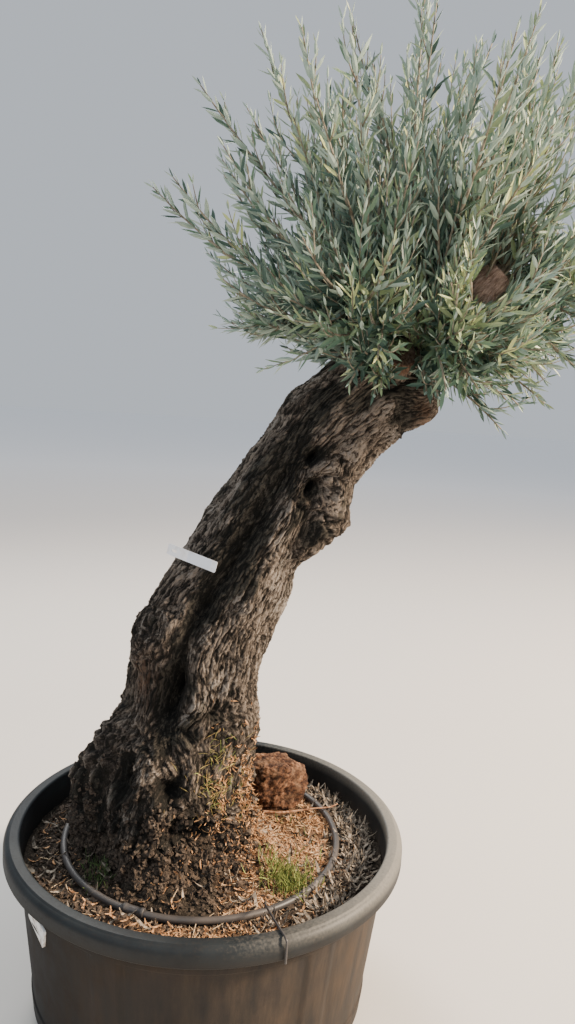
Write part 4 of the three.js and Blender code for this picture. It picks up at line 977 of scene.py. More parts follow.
def limb_piece(name, path, radii, shift):
    share = np.linspace(0, 1, BOUGH_RINGS)
    centres = bent(*path, share)
    forwards = unit(np.gradient(centres, axis=0))
    reference = (0.0, -1.0, 0.02) if abs(forwards.mean(0)[1]) < 0.8 else (1.0, 0.0, 0.0)
    sides = unit(np.cross(forwards, reference))
    tops = np.cross(sides, forwards)
    spin = np.linspace(0, 2 * math.pi, BOUGH_SIDES, endpoint=False)
    out = sides[:, None] * np.cos(spin)[None, :, None] + tops[:, None] * np.sin(spin)[None, :, None]
    radius = (radii[0] + (radii[1] - radii[0]) * share)[:, None] + 0 * spin
    run = np.concatenate([[0], np.cumsum(np.linalg.norm(np.diff(centres, axis=0), axis=1))])
    flow = np.stack([radius * np.cos(spin), radius * np.sin(spin), run[:, None] + 0 * radius], -1)
    flow = flow.reshape(-1, 3) + shift
    cracks = smooth_step(0.02, 0.3, crack_depth(flow * BOUGH_CRACKS))
    rough = BOUGH_ROUGH * layered(flow * BOUGH_LUMPS, 3) + CRACK_HEIGHT * (cracks - 0.7)
    points = (centres[:, None] + out * radius[..., None]).reshape(-1, 3)
    points = points + out.reshape(-1, 3) * rough[:, None]
    end, end_flow, rings, flows = points[-BOUGH_SIDES:], flow[-BOUGH_SIDES:], [points], [flow]
    middle = end.mean(0)
    for draw in CUT_DRAWS:
        ring = middle + (end - middle) * draw
        rings.append(ring + forwards[-1] * (CUT_PROUD + CUT_ROUGH * noise(ring * 120))[:, None])
        flows.append((end_flow - shift) * (draw, draw, 1) + shift)
    rings, flows = np.vstack(rings), np.vstack(flows)
    on_face = len(rings) - len(points)
    bare_end = (0.9 * smooth_step(0.55, 0.85, share)).repeat(BOUGH_SIDES)
    torn = np.concatenate([bare_end, np.full(on_face, 0.6)])
    # Depth in the cracks, which the bark finish darkens partly as painted shade.
    deep = np.concatenate([1 - cracks, np.full(on_face, 0.3)]) * 0.8 * (1 - 0.6 * torn)
    none = np.zeros(len(rings))
    thing = mesh_piece(name, *capped(rings, BOUGH_SIDES))
    kept = {"depth": deep, "torn": torn, "moss_and_shade": none, "earth": none, "crumbly": none, "flow": flows}
    for key, values in kept.items():
        store(thing, key, with_caps(values))
    return thing


for index, (name, (_, _, *radii)) in enumerate(BOUGHS.items()):
    limb = limb_piece(f"bough_{name}_wood", bough_path[name], radii, BOUGH_SHIFT * index)
    hand_over(limb, [bark_finish(f"bark_bough_{name}", *SAWN_WOOD_PAINTED_LIGHT)], [f"bough_{name}"])
stub = limb_piece("cut_stub_wood", stub_path, STUB_RADII, STUB_SHIFT)
hand_over(stub, [bark_finish("bark_stub")], ["cut_stub"])

# %% [markdown]
# Soil fills the tub to 65 millimetres under the rim. It is heaped a little against the trunk
# and falls towards the wall, with crumbs and hollows on top. It stays low under the hose ring, which
# lies on it. The same surface, weighted by where litter gathers, is what leaves and straw are dropped on.

# %% Soil
RING_X, RING_Y, RING_RADIUS, RING_STRETCH, HOSE_RADIUS = -0.014, 0.025, 0.353, 1.03, 0.0085
RING_LEVEL = SOIL_LEVEL + RESTING_GAP + HOSE_RADIUS
SOIL_FLAT, SOIL_DROP, SOIL_CLEARANCE, SOIL_BOTTOM = 0.380, 0.008, 0.0016, 0.0123
MOUND_HEIGHT, MOUND_REACH, SOIL_ROUGH, SOIL_FINE = 0.034, 0.095, 0.0055, 0.0022
SOIL_RINGS, SOIL_SIDES, SOIL_CENTRE, SOIL_INSET = 150, 400, 0.002, 0.0295


def inner_wall(z):
    return inner_foot + (z - CORNER) * (RIM_INNER - inner_foot) / (TUB_HEIGHT - CREST_ROUND - CORNER)


soil_edge = inner_wall(SOIL_LEVEL - SOIL_DROP) - SOIL_CLEARANCE
soil_radius = np.linspace(SOIL_CENTRE, soil_edge, SOIL_RINGS)[:, None]
soil_turn = np.linspace(0, 2 * math.pi, SOIL_SIDES, endpoint=False)[None, :]
soil_x, soil_y = (soil_radius * np.cos(soil_turn)).ravel(), (soil_radius * np.sin(soil_turn)).ravel()
flat_place = np.stack([soil_x, soil_y, 0 * soil_x], -1)

# How far each place on the soil lies outside the trunk's foot, and outside the hose ring's line
from_trunk_x = soil_x - STATIONS[0, 0]
foot_radius, _ = trunk_radius(np.zeros_like(soil_x), np.arctan2(from_trunk_x, -soil_y))
outside = np.hypot(from_trunk_x, soil_y) - foot_radius
from_ring = np.hypot(soil_x - RING_X, (soil_y - RING_Y) / RING_STRETCH) - RING_RADIUS

by_ring = smooth_step(0.010, 0.030, np.abs(from_ring))
rough = SOIL_ROUGH * layered(flat_place * 16, 3) + SOIL_FINE * layered(flat_place * 90, 3)
clods = smooth_step(0, 0.6, crack_depth(flat_place * 34 + 8)) + 0.6 * layered(flat_place * 22 + 5, 3)
mound = MOUND_HEIGHT * (1 - smooth_step(0, MOUND_REACH, outside)) * (0.62 + 0.45 * clods)
fall = -SOIL_DROP * smooth_step(SOIL_FLAT, soil_edge, soil_radius.repeat(SOIL_SIDES, 1).ravel())
soil_z = SOIL_LEVEL + fall + np.where(by_ring < 1, np.minimum(rough, 0), rough) * (0.3 + 0.7 * by_ring)
soil_z = soil_z + mound * by_ring - 0.001 * (1 - by_ring)
soil_top = np.stack([soil_x, soil_y, soil_z], -1)

underside = [
    (SOIL_CENTRE, SOIL_BOTTOM), (inner_wall(CORNER) - SOIL_INSET, SOIL_BOTTOM),
    (inner_wall(CORNER) - SOIL_CLEARANCE, CORNER),
]
turn = soil_turn[0]
under_rings = [np.stack([r * np.cos(turn), r * np.sin(turn), z + 0 * turn], -1) for r, z in underside]
top_rings = soil_top.reshape(SOIL_RINGS, SOIL_SIDES, 3)[::-1]
soil = mesh_piece("soil_bed", *capped(np.vstack([*under_rings, *top_rings]), SOIL_SIDES))

patches = layered(flat_place * 8 + 4, 3)
warm = smooth_step(0.02, 0.15, soil_x + 0.06 * patches)
warm = warm * smooth_step(0.02, -0.02, from_ring - 0.03 * patches)
front_strip = smooth_step(0.0, 0.03, from_ring) * hill(soil_x - 0.02, 0.20) * (soil_y < 0)
warm = np.clip(np.maximum(warm, 0.9 * front_strip), 0, 1)
grey = smooth_step(-0.01, 0.03, from_ring) * smooth_step(0.10, 0.26, soil_x) * (0.7 + 0.5 * patches)
warm_from_edge = warm.reshape(SOIL_RINGS, SOIL_SIDES)[::-1].ravel()
store(soil, "warm", np.concatenate([np.zeros(len(underside) * SOIL_SIDES), warm_from_edge, (0, 0)]))


def soil_finish():
    m = new_finish("soil_earth", (0.1, 0.06, 0.04), 0.95, 0.15)
    place = object_place(m)
    crumbs, blotch = grain(m, place, 210, 5, 0.7), grain(m, place, 7, 4)
    tan = [(0.25, (0.05, 0.028, 0.017)), (0.5, (0.16, 0.09, 0.052)), (0.75, (0.36, 0.24, 0.15))]
    humus = [(0.3, (0.008, 0.007, 0.006)), (0.5, (0.032, 0.026, 0.020)), (0.75, (0.13, 0.105, 0.08))]
    how_warm = combine(m, "MULTIPLY", stored(m, "warm"), remap(m, blotch, 0.3, 0.5, 0.5, 1))
    wire(m, "Base Color", mixed(m, how_warm, colours(m, crumbs, humus), colours(m, crumbs, tan)))
    emboss(m, combine(m, "ADD", crumbs, grain(m, place, 620, 3)), 0.9, 0.004)
    return m


hand_over(soil, [soil_finish()], ["soil"])

# %% [markdown]
# The litter is scattered by a Geometry Nodes tree. Points are dropped on the soil, thicker where the
# stored weight is high. Each takes a copy of one small shape, with a random size, turn and tilt. The
# copies are then made real, so that they can be handed over as one mesh.

# %% Scatter tree
SCATTER_INPUTS = {
    "Geometry": "Geometry", "Shape": "Object", "Weight": "String", "Density": "Float", "Smallest": "Float",
    "Largest": "Float", "Tilt": "Float", "Seed": "Int", "Finish": "Material",
}


def scatter_tree():
    tree = bpy.data.node_groups.new("scatter", "GeometryNodeTree")
    for name, kind in SCATTER_INPUTS.items():
        tree.interface.new_socket(name, in_out="INPUT", socket_type=f"NodeSocket{kind}")
    tree.interface.new_socket("Geometry", in_out="OUTPUT", socket_type="NodeSocketGeometry")
    given = tree.nodes.new("NodeGroupInput").outputs

    inputs = {"Name": given["Weight"]}
    weight = add_node(tree, "GeometryNodeInputNamedAttribute", inputs, data_type="FLOAT")
    thick = combine(tree, "MULTIPLY", given["Density"], weight.outputs["Attribute"])
    inputs = {"Mesh": given["Geometry"], "Density": thick, "Seed": given["Seed"]}
    drop = add_node(tree, "GeometryNodeDistributePointsOnFaces", inputs)
    shape = add_node(tree, "GeometryNodeObjectInfo", {"Object": given["Shape"]})

    # The node for a random value has sockets of one name for each kind, so they are told by number
    inputs = {2: given["Smallest"], 3: given["Largest"], "Seed": given["Seed"]}
    size = add_node(tree, "FunctionNodeRandomValue", inputs, data_type="FLOAT").outputs[1]
    back = combine(tree, "MULTIPLY", given["Tilt"], -1)
    lowest = add_node(tree, "ShaderNodeCombineXYZ", {"X": back, "Y": back})
    inputs = {"X": given["Tilt"], "Y": given["Tilt"], "Z": 2 * math.pi}
    highest = add_node(tree, "ShaderNodeCombineXYZ", inputs)
    inputs = {0: lowest.outputs[0], 1: highest.outputs[0]}
    turn = add_node(tree, "FunctionNodeRandomValue", inputs, data_type="FLOAT_VECTOR").outputs[0]

    inputs = {"Points": drop.outputs["Points"], "Instance": shape.outputs["Geometry"],
              "Rotation": turn, "Scale": size}
    copies = add_node(tree, "GeometryNodeInstanceOnPoints", inputs)
    real = add_node(tree, "GeometryNodeRealizeInstances", {0: copies.outputs[0]})
    inputs = {"Geometry": real.outputs[0], "Material": given["Finish"]}
    finished = add_node(tree, "GeometryNodeSetMaterial", inputs)
    add_node(tree, "NodeGroupOutput", {0: finished.outputs[0]})
    return tree


SCATTER_TREE = scatter_tree()
tree_inputs = [item for item in SCATTER_TREE.interface.items_tree if item.in_out == "INPUT"]
SOCKET = {item.name: item.identifier for item in tree_inputs}


def scatter(name, ground, **inputs):
    """A new mesh of many copies of a small shape, lying on the ground."""
    carrier = bpy.data.objects.new(f"{name}_carrier", ground.data)
    bpy.context.scene.collection.objects.link(carrier)
    modifier = carrier.modifiers.new("scatter", "NODES")
    modifier.node_group = SCATTER_TREE
    for key, value in inputs.items():
        modifier[SOCKET[key]] = value
    ready = carrier.evaluated_get(bpy.context.evaluated_depsgraph_get())
    mesh = bpy.data.meshes.new_from_object(ready)
    carrier.modifiers.remove(modifier)
    bpy.data.objects.remove(carrier)
    mesh.name = name
    thing = bpy.data.objects.new(name, mesh)
    bpy.context.scene.collection.objects.link(thing)
    return thing


print("scatter inputs:", sorted(SOCKET))

# %% [markdown]
# Three kinds of small shape serve for all that lies in the tub. One is a dry leaf with a pointed end,
# bent up along its length and rolled. One is a lump of eight corners, long for straw and round for
# crumbs. The last is a pointed blade that stands up, for sprouts and herbs.

# %% Litter shapes
LEAF_STEPS = 4


def leaf_shape(name, length, width, curl, thick=0.0007):
    """A dry curled leaf: a closed strip with a pointed end, bent up along its length and rolled."""
    points = []
    for share in np.linspace(0, 1, LEAF_STEPS + 1):
        half = width / 2 * math.sin(math.pi * (0.06 + share * 0.90)) ** 0.7
        x = (share - 0.5) * length
        y = curl * 0.5 * (share - 0.5) ** 2 * length
        z = curl * (share - 0.4) ** 2 * length * 1.6
        points += [(x, y - half, z + half * 0.5), (x, y + half, z + half * 0.5)]
        points += [(x, y + half * 0.5, z - thick), (x, y - half * 0.5, z - thick)]
    edges = [(a + ring, b + ring) for ring in range(0, 4 * LEAF_STEPS, 4)
             for a, b in ((0, 3), (3, 2), (2, 1), (1, 0))]
    walls = [(a, b, b + 4, a + 4) for a, b in edges]
    last = 4 * LEAF_STEPS
    ends = [(0, 1, 2, 3), (last + 3, last + 2, last + 1, last)]
    return mesh_piece(name, points, walls + ends, smooth=False)


def chip_shape(name, size, seed):
    """A closed lump of eight corners, pushed about, for bark chips, crumbs and straw."""
    rng = np.random.default_rng(seed)
    corners = np.array(list(itertools.product((-0.5, 0.5), repeat=3))) * size
    corners = corners * (1 + rng.uniform(-0.35, 0.35, corners.shape))
    faces = [(0, 1, 3, 2), (4, 6, 7, 5), (0, 4, 5, 1), (2, 3, 7, 6), (0, 2, 6, 4), (1, 5, 7, 3)]
    return mesh_piece(name, corners, faces, smooth=False)


def blade_shape(name, height, width):
    """A closed three-sided blade, standing up from the origin and bent over at its point."""
    points = []
    for level, share in ((0, 0.5), (0.4, 1.0), (0.8, 0.6), (1.0, 0.05)):
        for a in np.radians((0, 120, 240)):
            x = share * math.cos(a) * width / 2 + 0.3 * height * level**2
            points.append((x, share * math.sin(a) * width / 5, level * height))
    return mesh_piece(name, points, [*wrapped(4, 3).tolist(), (2, 1, 0), (9, 10, 11)], smooth=False)


litter_shapes = {
    "needle": leaf_shape("needle_shape", 0.026, 0.0052, 0.5),
    "straw": chip_shape("straw_shape", (0.042, 0.0015, 0.0012), 3),
    "grey_leaf": leaf_shape("grey_leaf_shape", 0.042, 0.0090, 1.1),
    "chip": chip_shape("chip_shape", (0.014, 0.008, 0.004), 4),
    "crumb": chip_shape("crumb_shape", (0.008, 0.007, 0.006), 5),
    "blade": blade_shape("blade_shape", 0.040, 0.0034),
}
print("litter shapes:", ", ".join(litter_shapes))

# %% [markdown]
# Litter differs from place to place. Inside the ring at the right it is tan leaf straw, outside the
# ring there it is grey curled leaves, and the left is dark humus with crumbs and chips. A copy of the
# soil's top carries a weight for each kind. A second carrier, the trunk's foot, takes the sprouts, the
# dry fibres between them, and the crumbs and needles that are banked against the bark.

# %% Litter
LITTER_LIFT, FOOT_MARGIN, WALL_MARGIN = 0.0012, 0.004, 0.020
FOOT_ROWS, FIRST_LITTER_SEED = 130, 60

ground_faces = wrapped(SOIL_RINGS, SOIL_SIDES)[:, ::-1]
ground = mesh_piece("litter_ground", soil_top + (0, 0, LITTER_LIFT), ground_faces)
bare = (outside < FOOT_MARGIN) | (np.hypot(soil_x, soil_y) > soil_edge - WALL_MARGIN)
bare |= np.hypot((soil_x - BURL_X) / BURL_SIZE[0], (soil_y - BURL_Y) / BURL_SIZE[1]) < 1
drift = np.clip(0.7 + 0.6 * patches, 0.15, 1)


def near_spot(x, y, size):
    return hill(np.hypot(soil_x - x, soil_y - y), size)


side_herbs = 0.4 * near_spot(0.25, 0.05, 0.02) + 0.3 * near_spot(0.21, 0.10, 0.02)
weights = {
    "warm": np.maximum(warm * drift, 0.03),
    "grey": np.maximum(np.clip(grey, 0, 1), 0.06),
    "humus": np.clip(1 - warm, 0.15, 1) * drift,
    "tuft": near_spot(0.219, -0.180, 0.030) + 0.5 * near_spot(0.200, -0.150, 0.05) * drift,
    "herb": near_spot(-0.23, -0.206, 0.035) + side_herbs,
}
for key, values in weights.items():
    store(ground, key, np.where(bare, 0.0, values))

foot_points = grid[:FOOT_ROWS].reshape(-1, 3)
foot_along, foot_around = along[: len(foot_points)], around[: len(foot_points)]
foot_ground = mesh_piece("foot_ground", foot_points, wrapped(FOOT_ROWS, TRUNK_SIDES))
at_sprouts = region(foot_along, foot_around, 0.17, 40, 0.045, 16)
at_fibres = region(foot_along, foot_around, 0.13, 64, 0.085, 24)
at_fibres = at_fibres * smooth_step(-0.25, 0.25, layered(foot_points * 26 + 3, 3))
banked = smooth_step(0.15, 0.0, foot_along + 0.08 * layered(foot_points * 16, 4)) ** 1.8
sunny_side = hill(turn_between(foot_around, math.radians(84)), math.radians(44))
foot_weights = {
    "sprouts": at_sprouts * (layered(foot_points * 30, 3) > -0.05),
    "banked": banked * (1 - 0.8 * sunny_side),
    "banked_warm": np.maximum(banked * sunny_side, 0.85 * at_fibres),
}
for key, values in foot_weights.items():
    store(foot_ground, key, values)


def flat_finish(name, dark, light, roughness=0.85):
    m = new_finish(name, light, roughness, 0.25)
    tone = grain(m, object_place(m), 120, 2)
    wire(m, "Base Color", colours(m, tone, [(0.36, dark), (0.64, light)]))
    return m


litter_finishes = {
    "needle": flat_finish("needle", (0.17, 0.078, 0.036), (0.62, 0.37, 0.19)),
    "straw": flat_finish("straw", (0.38, 0.26, 0.15), (0.72, 0.57, 0.38)),
    "grey_leaf": flat_finish("grey_leaf", (0.07, 0.055, 0.042), (0.36, 0.31, 0.25)),
    "chip": flat_finish("bark_chip", (0.020, 0.015, 0.011), (0.12, 0.085, 0.060)),
    "crumb": flat_finish("soil_crumb", (0.018, 0.014, 0.011), (0.10, 0.075, 0.056)),
    "blade": flat_finish("green_blade", (0.10, 0.13, 0.035), (0.29, 0.34, 0.10), 0.6),
    "dark_blade": flat_finish("dark_blade", (0.035, 0.06, 0.022), (0.10, 0.16, 0.05), 0.6),
    "dry_blade": flat_finish("dry_blade", (0.23, 0.15, 0.06), (0.50, 0.42, 0.16), 0.7),
}
# Name, shape, finish, carrier, weight, pieces to the square metre, smallest, largest, tilt
LITTER = [
    ("needles", "needle", "needle", ground, "warm", 17000, 0.5, 1.1, 0.45),
    ("straw", "straw", "straw", ground, "warm", 6500, 0.4, 1.2, 0.35),
    ("grey_leaves", "grey_leaf", "grey_leaf", ground, "grey", 7000, 0.45, 1.1, 0.5),
    ("chips", "chip", "chip", ground, "humus", 2600, 0.4, 1.4, 0.6),
    ("crumbs", "crumb", "crumb", ground, "humus", 15000, 0.3, 1.2, 3.0),
    ("tuft", "blade", "blade", ground, "tuft", 60000, 0.5, 1.25, 0.55),
    ("herbs", "blade", "dark_blade", ground, "herb", 26000, 0.35, 0.8, 0.7),
    ("sprouts", "blade", "blade", foot_ground, "sprouts", 9000, 0.4, 0.9, 0.8),
    ("dry_sprouts", "blade", "dry_blade", foot_ground, "sprouts", 17000, 0.4, 1.0, 1.0),
    ("foot_crumbs", "crumb", "crumb", foot_ground, "banked", 34000, 0.2, 1.3, 3.0),
    ("foot_needles", "needle", "needle", foot_ground, "banked_warm", 26000, 0.5, 1.0, 1.2),
]
for seed, (name, shape, finish, carrier, weight, *measures) in enumerate(LITTER, FIRST_LITTER_SEED):
    named = dict(zip(("Density", "Smallest", "Largest", "Tilt"), measures))
    paint = litter_finishes[finish]
    lying = scatter(f"litter_{name}", carrier, Shape=litter_shapes[shape], Weight=weight, Seed=seed,
                    Finish=paint, **named)
    lying.data.materials.clear()
    hand_over(lying, [paint])
for helper in (ground, foot_ground, *litter_shapes.values()):
    bpy.data.objects.remove(helper)

# %% [markdown]
# A drip hose lies round the trunk, its ends joined by a sleeve, and a thin tube leads from it up and
# over the rim. A bare root twig lies from the burl across the ring. All four are round tubes swept
# along their lines.

# %% Hose ring and feed tube
def swept(centres, radius, sides, closed=False):
    """The rings of a round tube along a line of points. Radius may vary from point to point."""
    steps = np.roll(centres, -1, 0) - np.roll(centres, 1, 0) if closed else np.gradient(centres, axis=0)
    forwards = unit(steps)
    side = unit(np.cross(forwards, (0.02, 0.03, 1.0)))
    if not closed:
        for step in range(1, len(side)):
            carried = side[step - 1] - forwards[step] * (side[step - 1] @ forwards[step])
            side[step] = carried / np.linalg.norm(carried)
    top = np.cross(side, forwards)
    spin = np.linspace(0, 2 * math.pi, sides, endpoint=False)[None, :, None]
    out = side[:, None] * np.cos(spin) + top[:, None] * np.sin(spin)
    radius = np.broadcast_to(radius, len(centres))[:, None, None]
    return (centres[:, None] + out * radius).reshape(-1, 3)


def tube_piece(name, line, radius, sides=12):
    return mesh_piece(name, *capped(swept(line, radius, sides), sides))


def ring_line(turn, level):
    x = RING_X + RING_RADIUS * np.cos(turn)
    return np.stack([x, RING_Y + RING_STRETCH * RING_RADIUS * np.sin(turn), level + 0 * turn], -1)


def rounded_path(points, steps=18):
    """A smooth line through points that keeps close to its corners, however uneven the gaps."""
    points = np.array(points)
    padded = np.vstack([2 * points[0] - points[1], points, 2 * points[-1] - points[-2]])
    gaps = np.linalg.norm(np.diff(padded, axis=0), axis=1) ** 0.5
    parts, t = [], np.linspace(0, 1, steps, endpoint=False)[:, None]
    for i in range(1, len(padded) - 2):
        (a, b, c, d), (before, here, after) = padded[i - 1 : i + 3], gaps[i - 1 : i + 2]
        leave = ((b - a) / before - (c - a) / (before + here) + (c - b) / here) * here
        arrive = ((c - b) / here - (d - b) / (here + after) + (d - c) / after) * here
        squared, cubed = 3 * (c - b) - 2 * leave - arrive, 2 * (b - c) + leave + arrive
        parts.append(b + t * leave + t**2 * squared + t**3 * cubed)
    return np.vstack([*parts, points[-1]])


RING_STEPS, HOSE_SIDES, SLEEVE_SIDES = 260, 20, 24
ring_turns = np.linspace(0, 2 * math.pi, RING_STEPS, endpoint=False)
hose_points = swept(ring_line(ring_turns, RING_LEVEL), HOSE_RADIUS, HOSE_SIDES, closed=True)
hose = mesh_piece("drip_hose", hose_points, wrapped(RING_STEPS, HOSE_SIDES, closed=True))

SLEEVE_TURN, SLEEVE_LENGTH, SLEEVE_RADIUS = math.radians(251), 0.052, 0.011
# Shares of half the sleeve's length, from its middle, and the share of its radius at each
SLEEVE_PLACES = np.array([-1, -0.99, -0.96, -0.7, -0.68, -0.2, 0.2, 0.68, 0.7, 0.96, 0.99, 1])
SLEEVE_WIDTHS = np.array([0.80, 0.93, 1, 1, 0.93, 0.93, 0.93, 0.93, 1, 1, 0.93, 0.80])
sleeve_turns = SLEEVE_TURN + SLEEVE_LENGTH / RING_RADIUS / 2 * SLEEVE_PLACES
sleeve_line = ring_line(sleeve_turns, RING_LEVEL + SLEEVE_RADIUS - HOSE_RADIUS)
sleeve = tube_piece("hose_sleeve", sleeve_line, SLEEVE_RADIUS * SLEEVE_WIDTHS, SLEEVE_SIDES)

FEED_FOOT_TURN, FEED_RIM_TURN, FEED_RADIUS = math.radians(300), math.radians(294.5), 0.0025
FEED_OUTSIDE, FEED_OVER_RIM, FEED_RISE, RING_TOP = 0.5081, 0.4728, 0.013, 0.4229
feed_foot = ring_line(np.array([FEED_FOOT_TURN]), RING_TOP)[0]
half_way, foot_reach = (FEED_FOOT_TURN + FEED_RIM_TURN) / 2, math.hypot(feed_foot[0], feed_foot[1])
# Distance from the tub's axis, turn and height of each bend on the way over the rim
feed_route = [
    (foot_reach + 0.020, half_way, RING_TOP + 2 * FEED_RISE),
    (0.445, FEED_RIM_TURN, FEED_OVER_RIM), (0.4765, FEED_RIM_TURN, FEED_OVER_RIM),
    (0.5056, FEED_RIM_TURN, TUB_HEIGHT), (FEED_OUTSIDE, FEED_RIM_TURN, 0.448),
    (FEED_OUTSIDE, FEED_RIM_TURN, 0.420),
]
feed_points = [feed_foot, feed_foot + (0, 0, FEED_RISE)]
feed_points += [(r * math.cos(a), r * math.sin(a), z) for r, a, z in feed_route]
feed = tube_piece("feed_line", rounded_path(feed_points), FEED_RADIUS)

ROOT_TWIG = [
    (0.139, 0.120, 0.428), (0.190, 0.128, 0.424), (0.240, 0.150, 0.421), (0.285, 0.160, 0.4245),
    (0.330, 0.171, 0.4265), (0.352, 0.196, 0.424),
]
root_line = rounded_path(ROOT_TWIG, 8)
root_twig = tube_piece("root_twig", root_line, np.linspace(0.0042, 0.0015, len(root_line)), 8)
hand_over(root_twig, [flat_finish("root_bark", (0.16, 0.07, 0.035), (0.42, 0.25, 0.15))])


def hose_finish(name, dusty):
    m = new_finish(name, (0.03, 0.032, 0.035), 0.45)
    place = object_place(m)
    cover = remap(m, grain(m, place, 14, 4), 0.4, 0.75, 0.15, dusty)
    wire(m, "Base Color", mixed(m, cover, (0.028, 0.031, 0.035), (0.15, 0.12, 0.10)))
    wire(m, "Roughness", remap(m, cover, 0, 1, 0.38, 0.9))
    emboss(m, grain(m, place, 300, 2), 0.1, 0.0005)
    return m


hand_over(hose, [hose_finish("hose_plastic", 0.45)], ["drip_ring"])
hand_over(sleeve, [hose_finish("sleeve_plastic", 0.6)], ["drip_ring"])
hand_over(feed, [hose_finish("feed_plastic", 0.35)], ["feed_tube"])

# %% [markdown]
# The foliage keeps to a space of its own for each mass: the cone round its heading where that heading
# is the nearest. Before anything grows, three questions are made into functions. Does a point lie in
# the mass's own space, is it clear of trunk and boughs, and does it hide the sawn end of the right
# bough, which shows from the front?

# %% Room for twigs
CELL_GAP, LIMB_GAP, BURL_ALLOWANCE = 0.002, 0.006, 0.010
SAWN_END, SIGHT_GAP = bough_path["right"][2] - (0.015, 0, 0.01), 0.040
sight = unit(np.array(CAMERA_PLACE) - SAWN_END)


def chain(points, radii):
    """A limb as a row of straight stretches, each with its greater radius."""
    return [(points[i], points[i + 1], max(radii[i], radii[i + 1])) for i in range(len(points) - 1)]


along = np.linspace(0, 1, 15)
limbs = chain(spine(along), smooth_along(STATIONS[:, 2], along) + BURL_ALLOWANCE)
share = np.linspace(0, 1, 5)
bough_limbs = [(bough_path[name], radii) for name, (_, _, *radii) in BOUGHS.items()]
for path, (root_radius, tip_radius) in [*bough_limbs, (stub_path, STUB_RADII)]:
    limbs += chain(bent(*path, share), root_radius + (tip_radius - root_radius) * share)


def clear_of_limbs(points, margin):
    clear = np.ones(len(points), bool)
    for start, end, radius in limbs:
        line = end - start
        place = (points - start) @ line / (line @ line)
        nearest = start + np.clip(place, 0, 1)[:, None] * line
        close = np.linalg.norm(points - nearest, axis=1) < radius + margin + LIMB_GAP
        clear &= ~(close & (place > -0.1) & (place < 1))
    return clear


def in_own_space(mass, points, margin):
    inside = np.ones(len(points), bool)
    for other, direction in mass_heading.items():
        if other != mass:
            towards = unit(mass_heading[mass] - direction)
            inside &= (points - HUB) @ towards > CELL_GAP + margin
    return inside


def is_free(mass, points, margin):
    points = np.atleast_2d(points)
    return in_own_space(mass, points, margin) & clear_of_limbs(points, margin)


def before_sawn_end(points, nearest):
    """Whether points lie in the gap that is left before the sawn end, as the camera sees it."""
    place = (points - SAWN_END) @ sight
    aside = np.linalg.norm(points - SAWN_END - place[:, None] * sight, axis=1)
    return (place > nearest) & (aside < SIGHT_GAP)


print("limb stretches:", len(limbs))

# %% [markdown]
# The twigs grow in three steps, by the rule of the measured solids. A stem for each mass leads out
# of its bough. Long whips spring from it and fill the cone as seeds fill a sunflower, and one that
# would leave it is drawn in. Side twigs leave each whip and turn up to the light. They may cross the
# cone's border by a little over a centimetre, and are made shorter until they fit. Spurs fill the
# middle, and at the front some sprays hang down before the head.

# %% Growing twigs
GOLDEN_ANGLE = 2.39996
FIRST_SEED, SEED_STEP = 4001, 977
STEM_OFFSET, STEM_LEAD, STEM_SHARE = 0.013, 0.040, 0.20
WHIP_ROOTS_SPAN, WHIP_SAGS, TIP_SCATTER, PULL_IN = 0.85, (0.30, 0.20, 0.10), 0.46, 0.9
LOWEST_RISE, FULL_RISE, LOWEST_SHARE = -5, 33, 0.6
TIP_LEAF, WHIP_ROOM, TIP_ROOM = 0.060, 0.012, 0.014
TWIG_SPACING, TWIG_FIRST, TWIG_LAST = 0.052, 0.14, 0.80
TWIG_SHORTEST, TWIG_LONGEST, TWIG_LEAST = 0.09, 0.25, 0.035
TWIG_OVERLAP, TWIG_ROOM, SHORTEN, FULL_TURN = 0.015, 0.004, 0.75, 6.28
SPUR_COUNT, SPUR_SHORTEST, SPUR_LONGEST = 17, 0.14, 0.34
# Mass, then count and lowest and highest turn of the sprays that hang in front of the head
HANGING = {"front_right": (26, 268, 335), "front_left": (12, 250, 290), "right": (12, 295, 345)}
HANGING_FALL, HANGING_LENGTH = (0, 34), (0.16, 0.30)


def stem_path(mass, bough, reach):
    direction, bough_direction = mass_heading[mass], bough_heading[bough]
    sideways = direction - bough_direction * (direction @ bough_direction)
    base = bough_path[bough][2].copy()
    if np.linalg.norm(sideways) > 0.05:
        base = base + unit(sideways) * STEM_OFFSET
    end = HUB + direction * (BOUGHS[bough][1] + STEM_SHARE * reach)
    return base, base + bough_direction * STEM_LEAD, end


def reach_share(heading):
    """Low whips are shorter, so that the foliage draws in towards the head."""
    rise = math.degrees(math.asin(heading[2]))
    share = min(max((rise - LOWEST_RISE) / (FULL_RISE - LOWEST_RISE), 0), 1)
    return LOWEST_SHARE + (1 - LOWEST_SHARE) * share


def cross_vectors(forwards):
    """A side and a top direction for each forward direction."""
    upright = np.abs(forwards[..., 2:3]) > 0.8
    reference = np.where(upright, (1.0, 0.0, 0.0), (0.0, 0.0, 1.0))
    side = unit(np.cross(forwards, reference))
    return side, np.cross(side, forwards)


def leaning_out(mass, wide, turn):
    """The mass's own heading, leaned out by so much towards one side."""
    side, top = cross_vectors(mass_heading[mass])
    return unit(mass_heading[mass] + wide * (side * math.cos(turn) + top * math.sin(turn)))


def whip_tip(mass, spread, share, turn, distance):
    wide = math.tan(math.radians(spread)) * math.sqrt(share)
    while True:
        heading = leaning_out(mass, wide, turn)
        tip = HUB + heading * distance * reach_share(heading)
        if wide < 0.02 or is_free(mass, tip, TIP_ROOM)[0]:
            return tip
        wide *= PULL_IN


